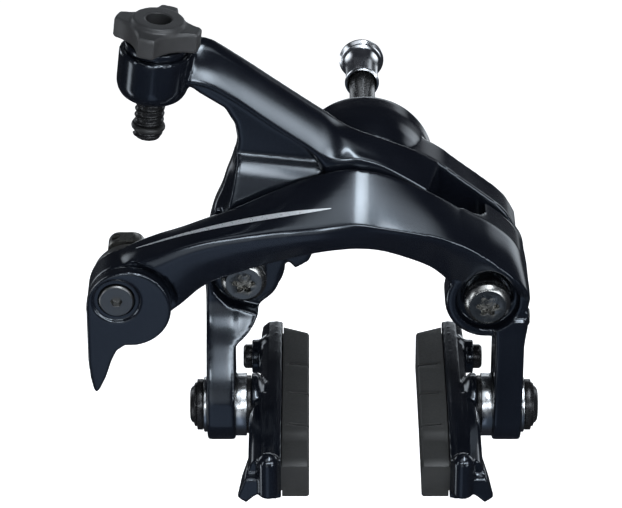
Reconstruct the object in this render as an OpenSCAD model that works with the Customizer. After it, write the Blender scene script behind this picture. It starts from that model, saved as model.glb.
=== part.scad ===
// Dual-pivot rim brake caliper, front arm over rear arm, with a quick-release lever and a barrel adjuster.
// Millimetres. X to the right, Y to the rear, Z up.
// The origin is on the mounting bolt, at the fork seat face.

/* [Mounting] */
// Depth from the fork seat forward to the front face of the bracket
bracket_depth = 17.6; // [15:0.1:22]
// Radius of the round boss around the mounting bolt
seat_boss_r = 15.4; // [10:0.1:17]
// Radius of the mounting bolt
bolt_r = 3; // [2.5:0.5:4]
// Distance from the seat to the near end of the sleeve nut
nut_start = 34; // [25:1:45]

/* [Pivots] */
// Half of the distance between the two arm pivots
pivot_x = 27; // [24:0.5:30]
// Height of the two pivots below the mounting bolt
pivot_drop = 19.3; // [15:0.1:24]
// Outer radius of the pivot bushes
bush_r = 4.5; // [4:0.1:5.5]
// Height of the link roller above the pivots
link_rise = 20; // [16:0.5:22]
// Angle through which each arm closes
arm_travel = 9; // [6:0.5:12]

/* [Arms] */
// Depth from the seat to the face where the front arm slides on the rear arm
split_depth = 26.4; // [25:0.1:28]
// Depth from the seat to the front face of the front arm's pivot boss
boss_depth = 34; // [33:0.1:38]
// Inner face of each pad bar, from the middle of the caliper
bar_in = 29; // [26:0.5:31]
// Thickness of each pad bar
bar_w = 6.5; // [5:0.1:8]
// Radius of the rounded lower end of each pad bar
bar_r = 8; // [7:0.1:9]
// Half width of the slot for the shoe bolt
slot_r = 4; // [3.4:0.1:4.4]

/* [Shoes] */
// Height of the shoe bolt below the mounting bolt, at its lowest place
reach = 50.5; // [45:0.5:55]
// Upward travel of the shoe bolt in its slot
reach_travel = 9; // [5:0.5:10]
// Depth from the seat to the shoe bolt
pad_depth = 27; // [24:0.5:30]
// Gap between the two braking faces
pad_gap = 24.8; // [20:0.2:32]
// Length of each brake pad
pad_len = 55; // [50:0.5:60]
// Radius of the rim that the pads meet
rim_r = 311; // [250:1:330]

/* [Quick release and cable] */
// Centre of the lever's cam, left of the middle
cam_x = 52.1; // [50:0.1:56]
// Centre of the cam below the mounting bolt
cam_drop = 18.7; // [15:0.1:22]
// Radius of the cam drum
cam_r = 6.6; // [6:0.1:7.5]
// Offset of the cable anchor from the centre of the cam
cam_throw = 3.2; // [2.5:0.1:3.6]
// Tilt of the barrel adjuster from the vertical, in degrees
barrel_tilt = 6.3; // [0:0.1:12]
// Radius of the cable housing socket
socket_r = 2.8; // [2.6:0.05:3.1]
// Radius of the rear arm's boss around the barrel
barrel_boss_r = 7.9; // [7.3:0.1:8.5]
// Rise of the knob in one turn
thread_pitch = 1.5; // [1:0.1:1.8]

/* [Hidden] */
$fn = 64;

black = "#14171d";
graphite = "#4b4d50";
steel = "#b9bcc0";
rubber = "#3c3c3e";

gap = 0.05;
pivot_z = -pivot_drop;
plate_front = -bracket_depth;
plate_back = -9;
seat_washer_t = 1.5;
rear_back = plate_front - 0.65;
rear_front = -split_depth + 0.2;
front_back = -split_depth - 0.2;
head_r = 5.1;
head_t = 4;
pocket_r = 7.1;
pivot_front = -24.8;
left_face = pivot_front - 1.2;
right_face = -boss_depth - 2;
thrust_t = 0.55;
pad_y = -pad_depth;
bolt_z = -reach;
bar_out = bar_in + bar_w;
pad_face = pad_gap / 2;
toe_x = 14;
cam_front = -35.25;
anchor_angle = -85;
barrel_x = -46.2;
barrel_y = -23;
barrel_z = 30.5;
link_z = pivot_z + link_rise;
arm_end_r = 9.3;
lever_t = 3.1;
pivot_shank_r = 3;
pivot_eye_r = 9.2;
pin_r = 1.5;
roller_r = 3;
spring_coil_r = 4.9;
anchor_r = 2.5;
lever_screw_r = 1.6;
centering_z = -27.2;
fixing_y = pad_y + 21.7;
fixing_z = bolt_z - 0.6;
fixing_r = 1.8;
// Length that takes a cut clear of every face.
clear = 50;

// ---- Helpers ----

// Extrudes an XZ outline from y0 back to y1.
module along_y(y0, y1) {
    translate([0, y1, 0]) rotate([90, 0, 0]) linear_extrude(y1 - y0) children();
}

// Extrudes a YZ outline from x0 to x1.
module along_x(x0, x1) {
    translate([x0, 0, 0]) rotate([90, 0, 90]) linear_extrude(x1 - x0) children();
}

module rod_y(r, y0, y1) {
    along_y(y0, y1) circle(r);
}

module rod_x(r, x0, x1) {
    along_x(x0, x1) circle(r);
}

// A rod along Y whose front edge is chamfered by c.
module boss_y(r, y0, y1, c) {
    rod_y(r, y0 + c, y1);
    translate([0, y0 + c, 0]) rotate([90, 0, 0]) cylinder(h=c, r1=r, r2=r - c);
}

// A rod along X whose outer end is chamfered by c.
module boss_x(r, x0, x1, c) {
    rod_x(r, x0, x1 - c);
    translate([x1 - c, 0, 0]) rotate([0, 90, 0]) cylinder(h=c, r1=r, r2=r - c);
}

module at_left_pivot() {
    translate([-pivot_x, 0, pivot_z]) children();
}

module at_right_pivot() {
    translate([pivot_x, 0, pivot_z]) children();
}

// A straight band of half width r with round ends, from a to b.
module band(a, b, r) {
    d = b - a;
    translate(a) circle(r);
    translate(b) circle(r);
    translate(a) rotate(atan2(d[1], d[0])) translate([0, -r]) square([norm(d), 2 * r]);
}

// A closed skin over rings of points, ordered along +X.
module loft(rings) {
    n = len(rings[0]);
    last = (len(rings) - 1) * n;
    near = [for (i = [0:n - 1]) i];
    far = [for (i = [n - 1:-1:0]) last + i];
    sides = [
        for (k = [0:len(rings) - 2], i = [0:n - 1], t = [0, 1])
            let (a = k * n, b = a + n, j = (i + 1) % n)
            t == 0 ? [a + j, a + i, b + i] : [a + j, b + i, b + j]
    ];
    polyhedron([for (ring = rings) each ring], concat([near, far], sides));
}

// A round wire swept along a path, with its ends closed.
module wire(path, r, sides=8) {
    last = len(path) - 1;
    rings = [
        for (i = [0:last])
            let (
                t = path[min(i + 1, last)] - path[max(i - 1, 0)],
                w = t / norm(t),
                ref = abs(w[1]) > 0.9 ? [1, 0, 0] : [0, 1, 0],
                u = cross(ref, w) / norm(cross(ref, w)),
                v = cross(w, u)
            )
            [for (k = [0:sides - 1]) let (q = -360 * k / sides) path[i] + r * (cos(q) * u + sin(q) * v)]
    ];
    loft(rings);
}

module hex_socket(across, y0, y1) {
    along_y(y0, y1) circle(r=across / sqrt(3), $fn=6);
}

// A six-lobed socket for the pivot bolts.
module star_socket(r, y0, y1) {
    rod_y(0.72 * r, y0, y1);
    for (k = [0:5]) {
        rotate([0, 60 * k, 0]) translate([0.72 * r, 0, 0]) rod_y(0.26 * r, y0, y1);
    }
}

// ---- Bracket and mounting ----

// Top line of the bracket, from left to right.
bracket_top = [
    [-34.5, -12.5], [-31.5, -6], [-26, -1.2], [-19, 3.8], [-13, 9], [-8, 13.4], [-3.5, 15.6], [0, 16.2],
    [4, 15.4], [8, 13.8], [12.5, 10.4], [16.8, 6.6], [20.5, 3.4], [26.4, -1.2], [31.2, -5.4], [34, -10.2],
];
bracket_arch = [
    [30, -26], [20, -21.5], [12, -15.5], [5, -13], [-5, -13], [-11, -15], [-12.5, -18.5], [-15.5, -20.4],
    [-17, -18.6], [-21, -21.5], [-30, -26],
];

module bracket() color(black) {
    difference() {
        union() {
            along_y(plate_front, plate_back) polygon(concat(bracket_top, bracket_arch));
            at_left_pivot() rod_y(pivot_eye_r, plate_front, plate_back);
            at_right_pivot() rod_y(pivot_eye_r, plate_front, plate_back);
            rod_y(seat_boss_r, plate_front + 3, -seat_washer_t - 0.4);
            translate([0, -seat_washer_t, 0]) rotate([90, 0, 0])
                cylinder(h=0.4, r1=seat_boss_r - 0.4, r2=seat_boss_r);
        }
        rod_y(bolt_r, plate_front - 1, 1);
        rod_y(5.2, plate_front - 1, plate_front + 4.5);
        at_left_pivot() rod_y(pivot_shank_r, plate_front - 1, plate_back + 1);
        at_right_pivot() rod_y(pivot_shank_r, plate_front - 1, plate_back + 1);
    }
}

module centre_bolt() color(graphite) {
    difference() {
        union() {
            rod_y(5, plate_front + 0.3, plate_front + 4.5);
            rod_y(bolt_r, plate_front + 4.5, nut_start + 7);
        }
        hex_socket(5, plate_front, plate_front + 3);
    }
}

module seat_washer() color(graphite) {
    difference() {
        rod_y(10.5, -seat_washer_t, 0);
        rod_y(bolt_r + 0.2, -seat_washer_t - 1, 1);
    }
}

module sleeve_nut() color(steel) {
    flange = nut_start + 11.3;
    difference() {
        union() {
            boss_y(4, nut_start, flange, 0.3);
            rod_y(5.3, flange, nut_start + 12.6);
        }
        rod_y(bolt_r, nut_start - 1, nut_start + 7.5);
        hex_socket(5, nut_start + 7.4, nut_start + 13);
    }
}

// ---- Pivots ----

module pivot_bolt(face) color(graphite) {
    difference() {
        union() {
            translate([0, face + 1, 0]) rotate([90, 0, 0]) cylinder(h=1, r1=head_r, r2=head_r - 1);
            rod_y(head_r, face + 1, face + head_t);
            rod_y(pivot_shank_r, face + head_t, plate_back + 4.5);
        }
        star_socket(2.5, face - 1, face + 2.2);
    }
}

module pivot_bush(face) color(steel) {
    difference() {
        rod_y(bush_r, face + head_t, plate_front);
        rod_y(pivot_shank_r, face, plate_front + 1);
    }
}

module thrust_washer() color(steel) {
    difference() {
        rod_y(8, plate_front - thrust_t, plate_front);
        rod_y(bush_r + 0.1, plate_front - 2, plate_front + 1);
    }
}

module spring_cap() color(graphite) {
    cap_flange = plate_back + 5.6;
    difference() {
        union() {
            rod_y(3.9, plate_back, cap_flange);
            rod_y(5.8, cap_flange, cap_flange + 1);
        }
        rod_y(pivot_shank_r, plate_back - 1, plate_back + 4.5);
    }
}

module left_pivot_bolt() at_left_pivot() pivot_bolt(left_face);
module right_pivot_bolt() at_right_pivot() pivot_bolt(right_face);
module left_pivot_bush() at_left_pivot() pivot_bush(left_face);
module right_pivot_bush() at_right_pivot() pivot_bush(right_face);
module left_thrust_washer() at_left_pivot() thrust_washer();
module right_thrust_washer() at_right_pivot() thrust_washer();
module left_spring_cap() at_left_pivot() spring_cap();
module right_spring_cap() at_right_pivot() spring_cap();

// A torsion spring round the rear of a pivot, with a leg down to the back of its pad bar at leg_y.
module return_spring(leg_y) color(steel) {
    turns = 2;
    wire_r = 0.75;
    steps = 16;
    y0 = plate_back + 1.1;
    rise = 1.7;
    coil = [
        for (i = [0:turns * steps])
            let (q = 360 * i / steps)
            [spring_coil_r * cos(q), y0 + rise * i / steps, spring_coil_r * sin(q)]
    ];
    leg = [
        [5.4, leg_y, -13.6], [5.4, -14, -12.8], [5.4, y0 - 1.6, -10.6], [5.4, y0, -9.2], [5.1, y0, -3],
    ];
    wire(concat(leg, coil), wire_r, 6);
}

module left_return_spring() at_left_pivot() mirror([1, 0, 0]) return_spring(rear_back + 0.2);
module right_return_spring() at_right_pivot() return_spring(pad_y + bar_r + 0.2);

// ---- Pad bars ----

// Side view of a pad bar below its pivot: straight, with a round lower end.
module bar_side(front, top) {
    translate([pad_y, bolt_z]) circle(bar_r);
    polygon([
        [pad_y + bar_r, bolt_z], [pad_y + bar_r, top], [front, top],
        [pad_y - bar_r, top - 13], [pad_y - bar_r, bolt_z],
    ]);
}

module shoe_slot() {
    along_x(bar_in - 3, bar_out + 3) band([pad_y, bolt_z], [pad_y, bolt_z + reach_travel], slot_r);
}

// Cuts the seat, the bore and the head pocket of a pivot.
module pivot_cut(face) {
    rod_y(bush_r + gap, -clear, plate_front + 1);
    rod_y(pocket_r, -clear, face + head_t + 0.1);
}

// ---- Rear arm ----

// Rings of the rear arm's beam: x, top edge, depth and height of the face's upper edge,
// lip, bottom, and the slant of the ring.
rear_beam = [
    [-44, 37.2, -22.6, 36.8, 31.6, 29.8, 0],
    [-38, 38.4, -22.4, 37.6, 31.6, 29.8, 0],
    [-34.4, 38.2, -22, 37.4, 30.6, 28.8, 0],
    [-29, 34.9, -22, 34.3, 27.2, 25.4, 0],
    [-20, 28.4, -22, 27.8, 20.4, 18.6, 0],
    [-12, 22.6, -22, 22, 14.6, 12.4, 0],
    [-8.5, 20.1, -22, 19.2, 12.3, 4, 0],
    [-5, 17.5, -22.8, 15.7, 12, -1, 0],
    [-2, 15.9, -24.4, 13.4, 12.3, -3.5, 0],
    [3, 13.9, -25.2, 11.4, 10.8, -3.6, 0],
    [11, 10.7, -25.4, 7.6, 7, -2.4, 1.5],
    [16.6, 7.4, -25.4, 4.9, 4.3, -0.2, 3],
];

function rear_ring(s) =
    let (x = s[0], f = x - s[6])
    [
        [x, rear_back, s[1]], [f, s[2], s[3]], [f, rear_front, s[4]],
        [f, rear_front, s[5]], [x, rear_back, s[5]],
    ];

// The leg from the pivot up to the beam, and the thin web behind the pocket.
rear_leg = [
    [-35.6, -22], [-35.6, -14], [-34.6, -6], [-33.2, -0.6], [-31.3, 3.6], [-30, 8], [-28.7, 11.6],
    [-10.7, 9.6], [-4, 8], [2, -3.4], [-6, -4.6], [-12, -9], [-17.2, -15.6], [-18.8, -20],
];
rear_web = [
    [-44, 30], [-38.5, 28.2], [-36.2, 26.4], [-30.8, 22.8], [-28.6, 18.8], [-28.1, 15], [-28.7, 11],
    [-10, 9], [-8, 14], [-30, 29], [-44, 32],
];

module on_barrel() {
    translate([barrel_x, barrel_y, barrel_z]) rotate([0, barrel_tilt, 0]) children();
}

module rear_arm() color(black) {
    difference() {
        union() {
            loft([for (s = rear_beam) rear_ring(s)]);
            along_y(pivot_front, rear_back) polygon(rear_leg);
            along_y(rear_front, pivot_front + 1) intersection() {
                polygon(rear_leg);
                translate([-40, -9]) square([50, 30]);
            }
            along_y(-22.6, rear_back) polygon(rear_web);
            at_left_pivot() rod_y(8.2, pivot_front, rear_back);
            rear_arm_foot();
            barrel_boss();
            translate([-44, -26, 29.4]) cube([6, 26 + rear_back, 7.6]);
        }
        at_left_pivot() pivot_cut(left_face);
        mirror([1, 0, 0]) shoe_slot();
        on_barrel() cylinder(h=clear, r=3.35, center=true);
        on_barrel() translate([0, 0, boss_top]) cylinder(h=8, r=7.3);
        translate([0, 0, link_z]) rod_y(pin_r, rear_front - 1, rear_front + 5);
    }
}

// The round boss that carries the barrel, with a chamfered lower end.
module barrel_boss() {
    chamfer_h = 1.8;
    chamfer_r = 2.4;
    on_barrel() translate([0, 0, boss_low]) {
        cylinder(h=chamfer_h, r1=barrel_boss_r - chamfer_r, r2=barrel_boss_r);
        translate([0, 0, chamfer_h]) cylinder(h=boss_top - boss_low - chamfer_h, r=barrel_boss_r);
    }
}

// The left pad bar, widening to the pivot above it.
module rear_arm_foot() {
    foot = [[-35.6, -18], [-20.5, -24.4], [-24.6, -27.4], [-29, -33], [-35.5, -34]];
    along_y(pivot_front, rear_back) polygon(foot);
    mirror([1, 0, 0]) along_x(bar_in, bar_out) bar_side(pivot_front, -26);
}

module link_pin() color(steel) {
    translate([0, 0, link_z]) rod_y(pin_r, rear_front - 4.6, rear_front + 5);
}

module link_roller() color(steel) {
    translate([0, 0, link_z]) difference() {
        rod_y(roller_r, rear_front - 4.4, rear_front - 0.35);
        rod_y(pin_r + 0.03, rear_front - 5, rear_front);
    }
}

// ---- Front arm ----

// Rings of the front arm's beam: x, top edge, depth and height of the crest,
// depth and height of the lower edge.
front_beam = [
    [-56.5, -11.4, -35.4, -13, -35.1, -25],
    [-52, -8.2, -36.2, -9, -35.3, -26.4],
    [-46, -5.5, -36.6, -6.3, -35.2, -23.6],
    [-41, -3.8, -36.8, -4, -35.2, -19.9],
    [-35.5, -1.6, -36.9, -2.2, -35.2, -14.9],
    [-28, 1.4, -37.2, -0.6, -35.6, -11.4],
    [-20, 5.3, -37.5, 0.8, -36.2, -8.4],
    [-11, 9, -37.9, 1.9, -36.8, -5.8],
    [-6, 10.4, -38, 2.3, -37, -4.9],
    [-2, 10.6, -38, 2.3, -37, -4.6],
    [3, 9.7, -38, 1.4, -37, -5],
    [9, 7.4, -38, 0.4, -36.9, -6.9],
    [14.9, 4.5, -37.8, -0.8, -35.9, -10.2],
    [20, 1.4, -37.5, -2.8, -34.9, -15.5],
    [25, -2, -37.2, -5.6, -34.3, -19],
];
// Rings of the deeper shoulder that carries the beam over to the right pivot, in the same order.
front_shoulder = [
    [23.8, -0.8, -37.25, -4.9, -34.4, -19],
    [27, -2.7, -37.1, -7.2, -34.1, -19],
    [30, -5, -36.8, -9.8, -34.1, -19],
    [32.4, -7.3, -36.5, -12, -34.1, -19],
    [34.2, -10, -36.1, -14, -34.1, -19.2],
    [35.6, -14, -35.7, -16, -34.1, -19.6],
    [36.4, -18, -35.3, -18.4, -34.1, -20],
];

function front_ring(s, back) =
    let (x = s[0])
    [
        [x, back, s[1] - 0.8], [x, back - 1, s[1]], [x, s[2] + 0.9, s[3] + 0.7], [x, s[2], s[3] - 0.4],
        [x, s[4], s[5] + 1], [x, s[4] + 1, s[5]], [x, back - 1, s[5]], [x, back, s[5] + 0.8],
    ];

// Path of the roller in the frame of the front arm when both arms have closed by t.
function link_path(t) = [
    pivot_x * (cos(2 * t) + 1 - 2 * cos(t)) - link_rise * sin(2 * t),
    pivot_x * (sin(2 * t) - 2 * sin(t)) + link_rise * (cos(2 * t) - 1),
];

module link_slot() {
    steps = 4;
    translate([0, 0, link_z]) along_y(rear_front - 5.2, front_back + 1) {
        for (i = [0:steps - 1]) {
            band(link_path(arm_travel * i / steps), link_path(arm_travel * (i + 1) / steps), roller_r + 0.2);
        }
    }
}

module front_arm() color(black) {
    difference() {
        union() {
            loft([for (s = front_beam) front_ring(s, front_back)]);
            loft([for (s = front_shoulder) front_ring(s, rear_back)]);
            at_right_pivot() boss_y(9.4, -boss_depth, rear_back, 1);
            at_cam() rod_y(arm_end_r, cam_front + 0.2, front_back - 0.4);
            along_x(bar_in, bar_out) bar_side(pad_y - bar_r, -24);
            along_y(-boss_depth, pad_y + bar_r)
                polygon([[28, -26], [36.2, -22], [36.2, -26], [bar_out, -31], [bar_in, -30]]);
        }
        at_right_pivot() pivot_cut(right_face);
        shoe_slot();
        link_slot();
        at_cam() rod_y(cam_r + gap, -clear, 0);
        at_cam() rod_y(10.7, -clear, cam_front + 0.2);
        at_cam() rod_y(9.6, front_back - 0.4, 0);
        translate([0, pad_y, centering_z]) rod_x(2, bar_in - 3, bar_out + 3);
    }
}

module centering_screw() color(graphite) {
    translate([0, pad_y, centering_z]) difference() {
        boss_x(1.95, bar_in + 0.6, 36.9, 0.3);
        translate([35.4, 0, 0]) rotate([0, 90, 0]) cylinder(h=3, r=1.15, $fn=6);
    }
}

// ---- Quick release and cable anchor ----

module at_cam() {
    translate([-cam_x, 0, -cam_drop]) children();
}

module at_anchor() {
    at_cam() translate([cam_throw * cos(anchor_angle), 0, cam_throw * sin(anchor_angle)]) children();
}

// Outline of the lever: a round head about the cam, and a handle hanging at its left.
lever_handle = [
    [-61.4, -19], [-61.4, -32], [-61, -36.4], [-60.4, -39.4], [-59.8, -40.3], [-59, -39.4], [-57.6, -36.4],
    [-56.2, -32], [-55, -29.4], [-53, -27.9], [-50, -27.6], [-50, -19],
];
disc = [-54.7, -16.5];
disc_r = 3.85;

module qr_lever() color(black) {
    difference() {
        union() {
            at_cam() boss_y(arm_end_r, cam_front - lever_t, cam_front, 0.6);
            along_y(cam_front - lever_t + 0.6, cam_front) polygon(lever_handle);
        }
        translate([disc[0], 0, disc[1]]) rod_y(disc_r + 0.6, -clear, cam_front - 0.6);
        translate([disc[0], 0, disc[1]]) rod_y(lever_screw_r, -clear, 0);
    }
}

module qr_cam() color(graphite) {
    difference() {
        union() {
            at_cam() rod_y(cam_r, cam_front, front_back - 0.3);
            at_cam() rod_y(8.6, front_back - 0.3, -24.2);
        }
        translate([disc[0], 0, disc[1]]) rod_y(lever_screw_r, -clear, cam_front + 5);
        at_anchor() rod_y(anchor_r + gap, cam_front + 1, 0);
    }
}

module qr_screw() color(graphite) {
    translate([disc[0], 0, disc[1]]) difference() {
        union() {
            boss_y(disc_r, cam_front - lever_t - 0.3, cam_front - 0.6, 0.3);
            rod_y(lever_screw_r, cam_front - 0.6, cam_front + 4.5);
        }
        hex_socket(2.4, -clear, cam_front - 1.4);
    }
}

// Depths of the clamp plate, the guide on it and the rear of the anchor bolt's head.
clamp_front = -23.8;
clamp_back = -22.2;
guide_back = -19.6;
anchor_head_back = -18.6;

module anchor_bolt() color(graphite) {
    at_anchor() difference() {
        union() {
            rod_y(anchor_r, cam_front + 1.4, clamp_back);
            rod_y(4.6, clamp_back, anchor_head_back);
        }
        hex_socket(5, anchor_head_back - 2.2, anchor_head_back + 1);
    }
}

// Plate under the anchor bolt, with a rounded guide above it that stands proud of the arm's top edge.
module clamp_plate() color(steel) {
    guide_top = 12.2;
    guide_left = -5.4;
    guide_right = 2.8;
    guide_r = 2.6;
    guide_foot = 6.6;
    guide_w = guide_right - guide_left;
    at_anchor() difference() {
        union() {
            along_y(clamp_front, clamp_back) {
                circle(6);
                translate([guide_left, 0]) square([guide_w, guide_foot + 2.4]);
            }
            along_y(clamp_front, guide_back) {
                translate([guide_left + guide_r, guide_top - guide_r]) circle(guide_r);
                translate([guide_right - guide_r, guide_top - guide_r]) circle(guide_r);
                translate([guide_left + guide_r, guide_top - guide_r]) square([guide_w - 2 * guide_r, guide_r]);
                translate([guide_left, guide_foot]) square([guide_w, guide_top - guide_r - guide_foot]);
            }
        }
        rod_y(anchor_r, clamp_front - 1, clamp_back + 1);
        translate([-3.6, (clamp_front + guide_back) / 2, guide_foot - 0.6]) cylinder(h=10, r=0.9);
    }
}

// ---- Barrel adjuster ----

// Heights along the barrel axis, from the middle of the arm's boss.
boss_low = -4;
boss_top = 7;
knob_low = 8.8;
knob_high = 13.5;
collar_top = 14.5;
socket_floor = 9;
thread_top = 5;
barrel_tip = -14.1;
ring_z = -11.5;
ring_r = 3;

module detent_ring() color(steel) {
    on_barrel() translate([0, 0, boss_top + 0.1]) difference() {
        cylinder(h=knob_low - boss_top - 0.2, r=6.8);
        translate([0, 0, -1]) cylinder(h=5, r=5.1);
    }
}

// Four lobes between four shallow hollows.
module knob_outline() {
    lobe_r = 9.5;
    hollow_r = 10;
    hollow_depth = 3.1;
    difference() {
        circle(lobe_r);
        for (k = [0:3]) {
            rotate(45 + 90 * k) translate([lobe_r - hollow_depth + hollow_r, 0]) circle(hollow_r);
        }
    }
}

module adjuster_knob() color(graphite) {
    on_barrel() difference() {
        union() {
            translate([0, 0, knob_low]) rotate(14) linear_extrude(knob_high - knob_low) knob_outline();
            translate([0, 0, knob_high - 1]) cylinder(h=collar_top - knob_high + 1, r=5.8);
            translate([0, 0, boss_top + 0.3]) cylinder(h=3, r=5);
        }
        translate([0, 0, socket_floor]) cylinder(h=10, r=socket_r);
        translate([0, 0, 5]) cylinder(h=5, r=3.3);
    }
}

module adjuster_barrel() color(graphite) {
    crest = 3.3;
    root = 2.85;
    flank = 0.5;
    on_barrel() difference() {
        union() {
            translate([0, 0, barrel_tip]) cylinder(h=socket_floor - barrel_tip, r=root);
            translate([0, 0, boss_top - 1.5]) cylinder(h=socket_floor - boss_top + 1.5, r=crest);
            for (z = [thread_top:-thread_pitch:barrel_tip + flank]) {
                translate([0, 0, z]) cylinder(h=flank, r1=crest, r2=root);
                translate([0, 0, z - flank]) cylinder(h=flank, r1=root, r2=crest);
            }
        }
        cylinder(h=clear, r=1.1, center=true);
        translate([0, 0, ring_z]) rotate_extrude() translate([ring_r, 0]) circle(0.76);
    }
}

module adjuster_o_ring() color(rubber) {
    on_barrel() translate([0, 0, ring_z]) rotate_extrude() translate([ring_r, 0]) circle(0.75);
}

// ---- Shoes, drawn for the right side ----

dome_r = 14.3;
cup_r = 14.4;
outer_dome = 23.1;
shoe_x = 25.5;
head_x = bar_out + 2.3;
shank_r = 2.9;

module on_shoe_bolt() {
    translate([0, pad_y, bolt_z]) children();
}

// Place of the small screw that keeps the pad in its shoe.
module at_fixing() {
    translate([0, fixing_y, fixing_z]) children();
}

// A ring about the shoe bolt between a flat face and a ball of radius r about the toe centre.
module ball_ring(r, inner, outer, flat) {
    steps = 5;
    arc = [
        for (i = [0:steps])
            let (q = inner + (outer - inner) * i / steps)
            [q, toe_x + sqrt(r * r - q * q)]
    ];
    on_shoe_bolt() rotate([0, 90, 0]) rotate_extrude() polygon(concat([[outer, flat], [inner, flat]], arc));
}

// Silver washer between the bar and the bolt head, domed outwards.
module bar_washer() color(steel) {
    ball_ring(outer_dome, slot_r, 6.3, bar_out);
}

// Silver cup between the bar and the shoe.
module bar_cup() color(steel) {
    ball_ring(cup_r, slot_r, 7.15, bar_in);
}

module shoe_bolt() color(graphite) {
    on_shoe_bolt() difference() {
        union() {
            rod_x(shank_r, shoe_x - 2.4, head_x);
            boss_x(4.7, head_x, head_x + 1.6, 0.8);
        }
        translate([head_x - 0.6, 0, 0]) rotate([0, 90, 0]) cylinder(h=4, r=2.3, $fn=6);
    }
}

module head_cup() color(graphite) {
    ball_ring(outer_dome + 0.1, shank_r, 5.8, head_x);
}

module shoe_dome() color(graphite) {
    ball_ring(dome_r, shank_r, 6.6, shoe_x + 0.1);
}

// Sweeps a section (height above the rim line, x) along the rim between two places about the bolt.
module along_rim(front, back) {
    start = -back / rim_r * 180 / PI;
    sweep = (front + back) / rim_r * 180 / PI;
    translate([0, pad_y, bolt_z - rim_r]) rotate(a=180, v=[1, 0, 1])
        rotate([0, 0, start]) rotate_extrude(angle=sweep) children();
}

// The shoe's section: an open channel with rounded outer corners.
module holder_section() {
    difference() {
        translate([rim_r, 0]) polygon([
            [5.2, 18.6], [5.5, 20], [5.3, 21.8], [4, 23.2], [0, 23.6], [-4, 23.2],
            [-5.3, 21.8], [-5.5, 20], [-5.2, 18.6],
        ]);
        translate([rim_r, 0]) polygon([
            [3.4, 17], [3.4, 19.6], [4, 20], [4, 22], [-4, 22], [-4, 20], [-3.4, 19.6], [-3.4, 17],
        ]);
    }
}

// The thicker front of the shoe, flush with the boss around its bolt.
module holder_rib() {
    translate([rim_r, 0]) polygon([
        [4.4, 22.5], [4.4, 24.2], [3.6, 25], [-3.6, 25], [-4.4, 24.2], [-4.4, 22.5],
    ]);
}

module pad_section() {
    translate([rim_r, 0]) polygon([
        [4.7, pad_face], [5, 12.8], [5, 18.4], [3.3, 18.4], [3.3, 19.7], [3.9, 20.1], [3.9, 21.9],
        [-3.9, 21.9], [-3.9, 20.1], [-3.3, 19.7], [-3.3, 18.4], [-5, 18.4], [-5, 12.8], [-4.7, pad_face],
    ]);
}

pad_front = pad_len / 2 + 1;
pad_back = pad_len / 2 - 1;

// The guide fin that leads the wheel in between the shoes.
module guide_fin() {
    translate([23.2, pad_y - 30.2, bolt_z - 3]) rotate([0, 32, 0]) linear_extrude(1.6)
        polygon([[0, 0], [4.6, 0], [5.4, 0.8], [5.4, 3], [0, 14]]);
}

module pad_holder() color(black) {
    nose_r = 2.4;
    nose_h = 8.4;
    difference() {
        union() {
            along_rim(pad_front + 0.4, pad_back + 2) holder_section();
            along_rim(pad_front - 2, -4) holder_rib();
            on_shoe_bolt() rod_x(7, 22.4, shoe_x);
            at_fixing() rod_x(3.4, 22.4, shoe_x + 0.2);
            translate([21.4, pad_y - pad_front - 0.8, bolt_z - 5]) {
                cylinder(h=nose_h, r=nose_r);
                translate([0, 0, nose_h]) sphere(nose_r);
            }
            guide_fin();
        }
        on_shoe_bolt() rod_x(shank_r + gap, 22.8, 30);
        at_fixing() rod_x(fixing_r, 21, 30);
        along_rim(pad_front + 0.05, pad_back + 3) translate([rim_r - 4, 19]) square([8, 3]);
    }
}

module brake_pad() color(rubber) {
    groove_y = [-16.5, -4, 8.5];
    difference() {
        along_rim(pad_front, pad_back) pad_section();
        for (y = groove_y) {
            translate([pad_face - 1, pad_y + y, bolt_z - 8]) rotate([0, 0, 8]) cube([5.2, 0.7, 16]);
        }
        translate([pad_face, pad_y + pad_back - 3.4, bolt_z - 8]) rotate([0, 0, 29]) translate([-3, 0, 0])
            cube([12, 8, 16]);
        at_fixing() rod_x(fixing_r + 0.1, 20.5, 30);
    }
}

module pad_screw() color(graphite) {
    at_fixing() difference() {
        union() {
            rod_x(fixing_r, 20.7, shoe_x + 0.2);
            boss_x(2.8, shoe_x + 0.2, shoe_x + 2.2, 0.5);
        }
        translate([shoe_x + 1, 0, 0]) rotate([0, 90, 0]) cylinder(h=3, r=1.15, $fn=6);
    }
}

module flip() mirror([1, 0, 0]) children();

bracket();
centre_bolt();
seat_washer();
sleeve_nut();
left_pivot_bolt();
right_pivot_bolt();
left_pivot_bush();
right_pivot_bush();
left_thrust_washer();
right_thrust_washer();
left_spring_cap();
right_spring_cap();
rear_arm();
link_pin();
link_roller();
left_return_spring();
front_arm();
centering_screw();
right_return_spring();
qr_lever();
qr_cam();
qr_screw();
anchor_bolt();
clamp_plate();
detent_ring();
adjuster_knob();
adjuster_barrel();
adjuster_o_ring();
flip() bar_washer();  // left_bar_washer
flip() bar_cup();  // left_bar_cup
flip() shoe_bolt();  // left_shoe_bolt
flip() head_cup();  // left_head_cup
flip() shoe_dome();  // left_shoe_dome
flip() pad_holder();  // left_pad_holder
flip() brake_pad();  // left_brake_pad
flip() pad_screw();  // left_pad_screw
bar_washer();  // right_bar_washer
bar_cup();  // right_bar_cup
shoe_bolt();  // right_shoe_bolt
head_cup();  // right_head_cup
shoe_dome();  // right_shoe_dome
pad_holder();  // right_pad_holder
brake_pad();  // right_brake_pad
pad_screw();  // right_pad_screw
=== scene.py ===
"""Rim brake caliper: the looks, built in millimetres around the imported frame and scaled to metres."""

import math

import bmesh
import bpy
from mathutils import Matrix, Vector
from mathutils.bvhtree import BVHTree


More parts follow.
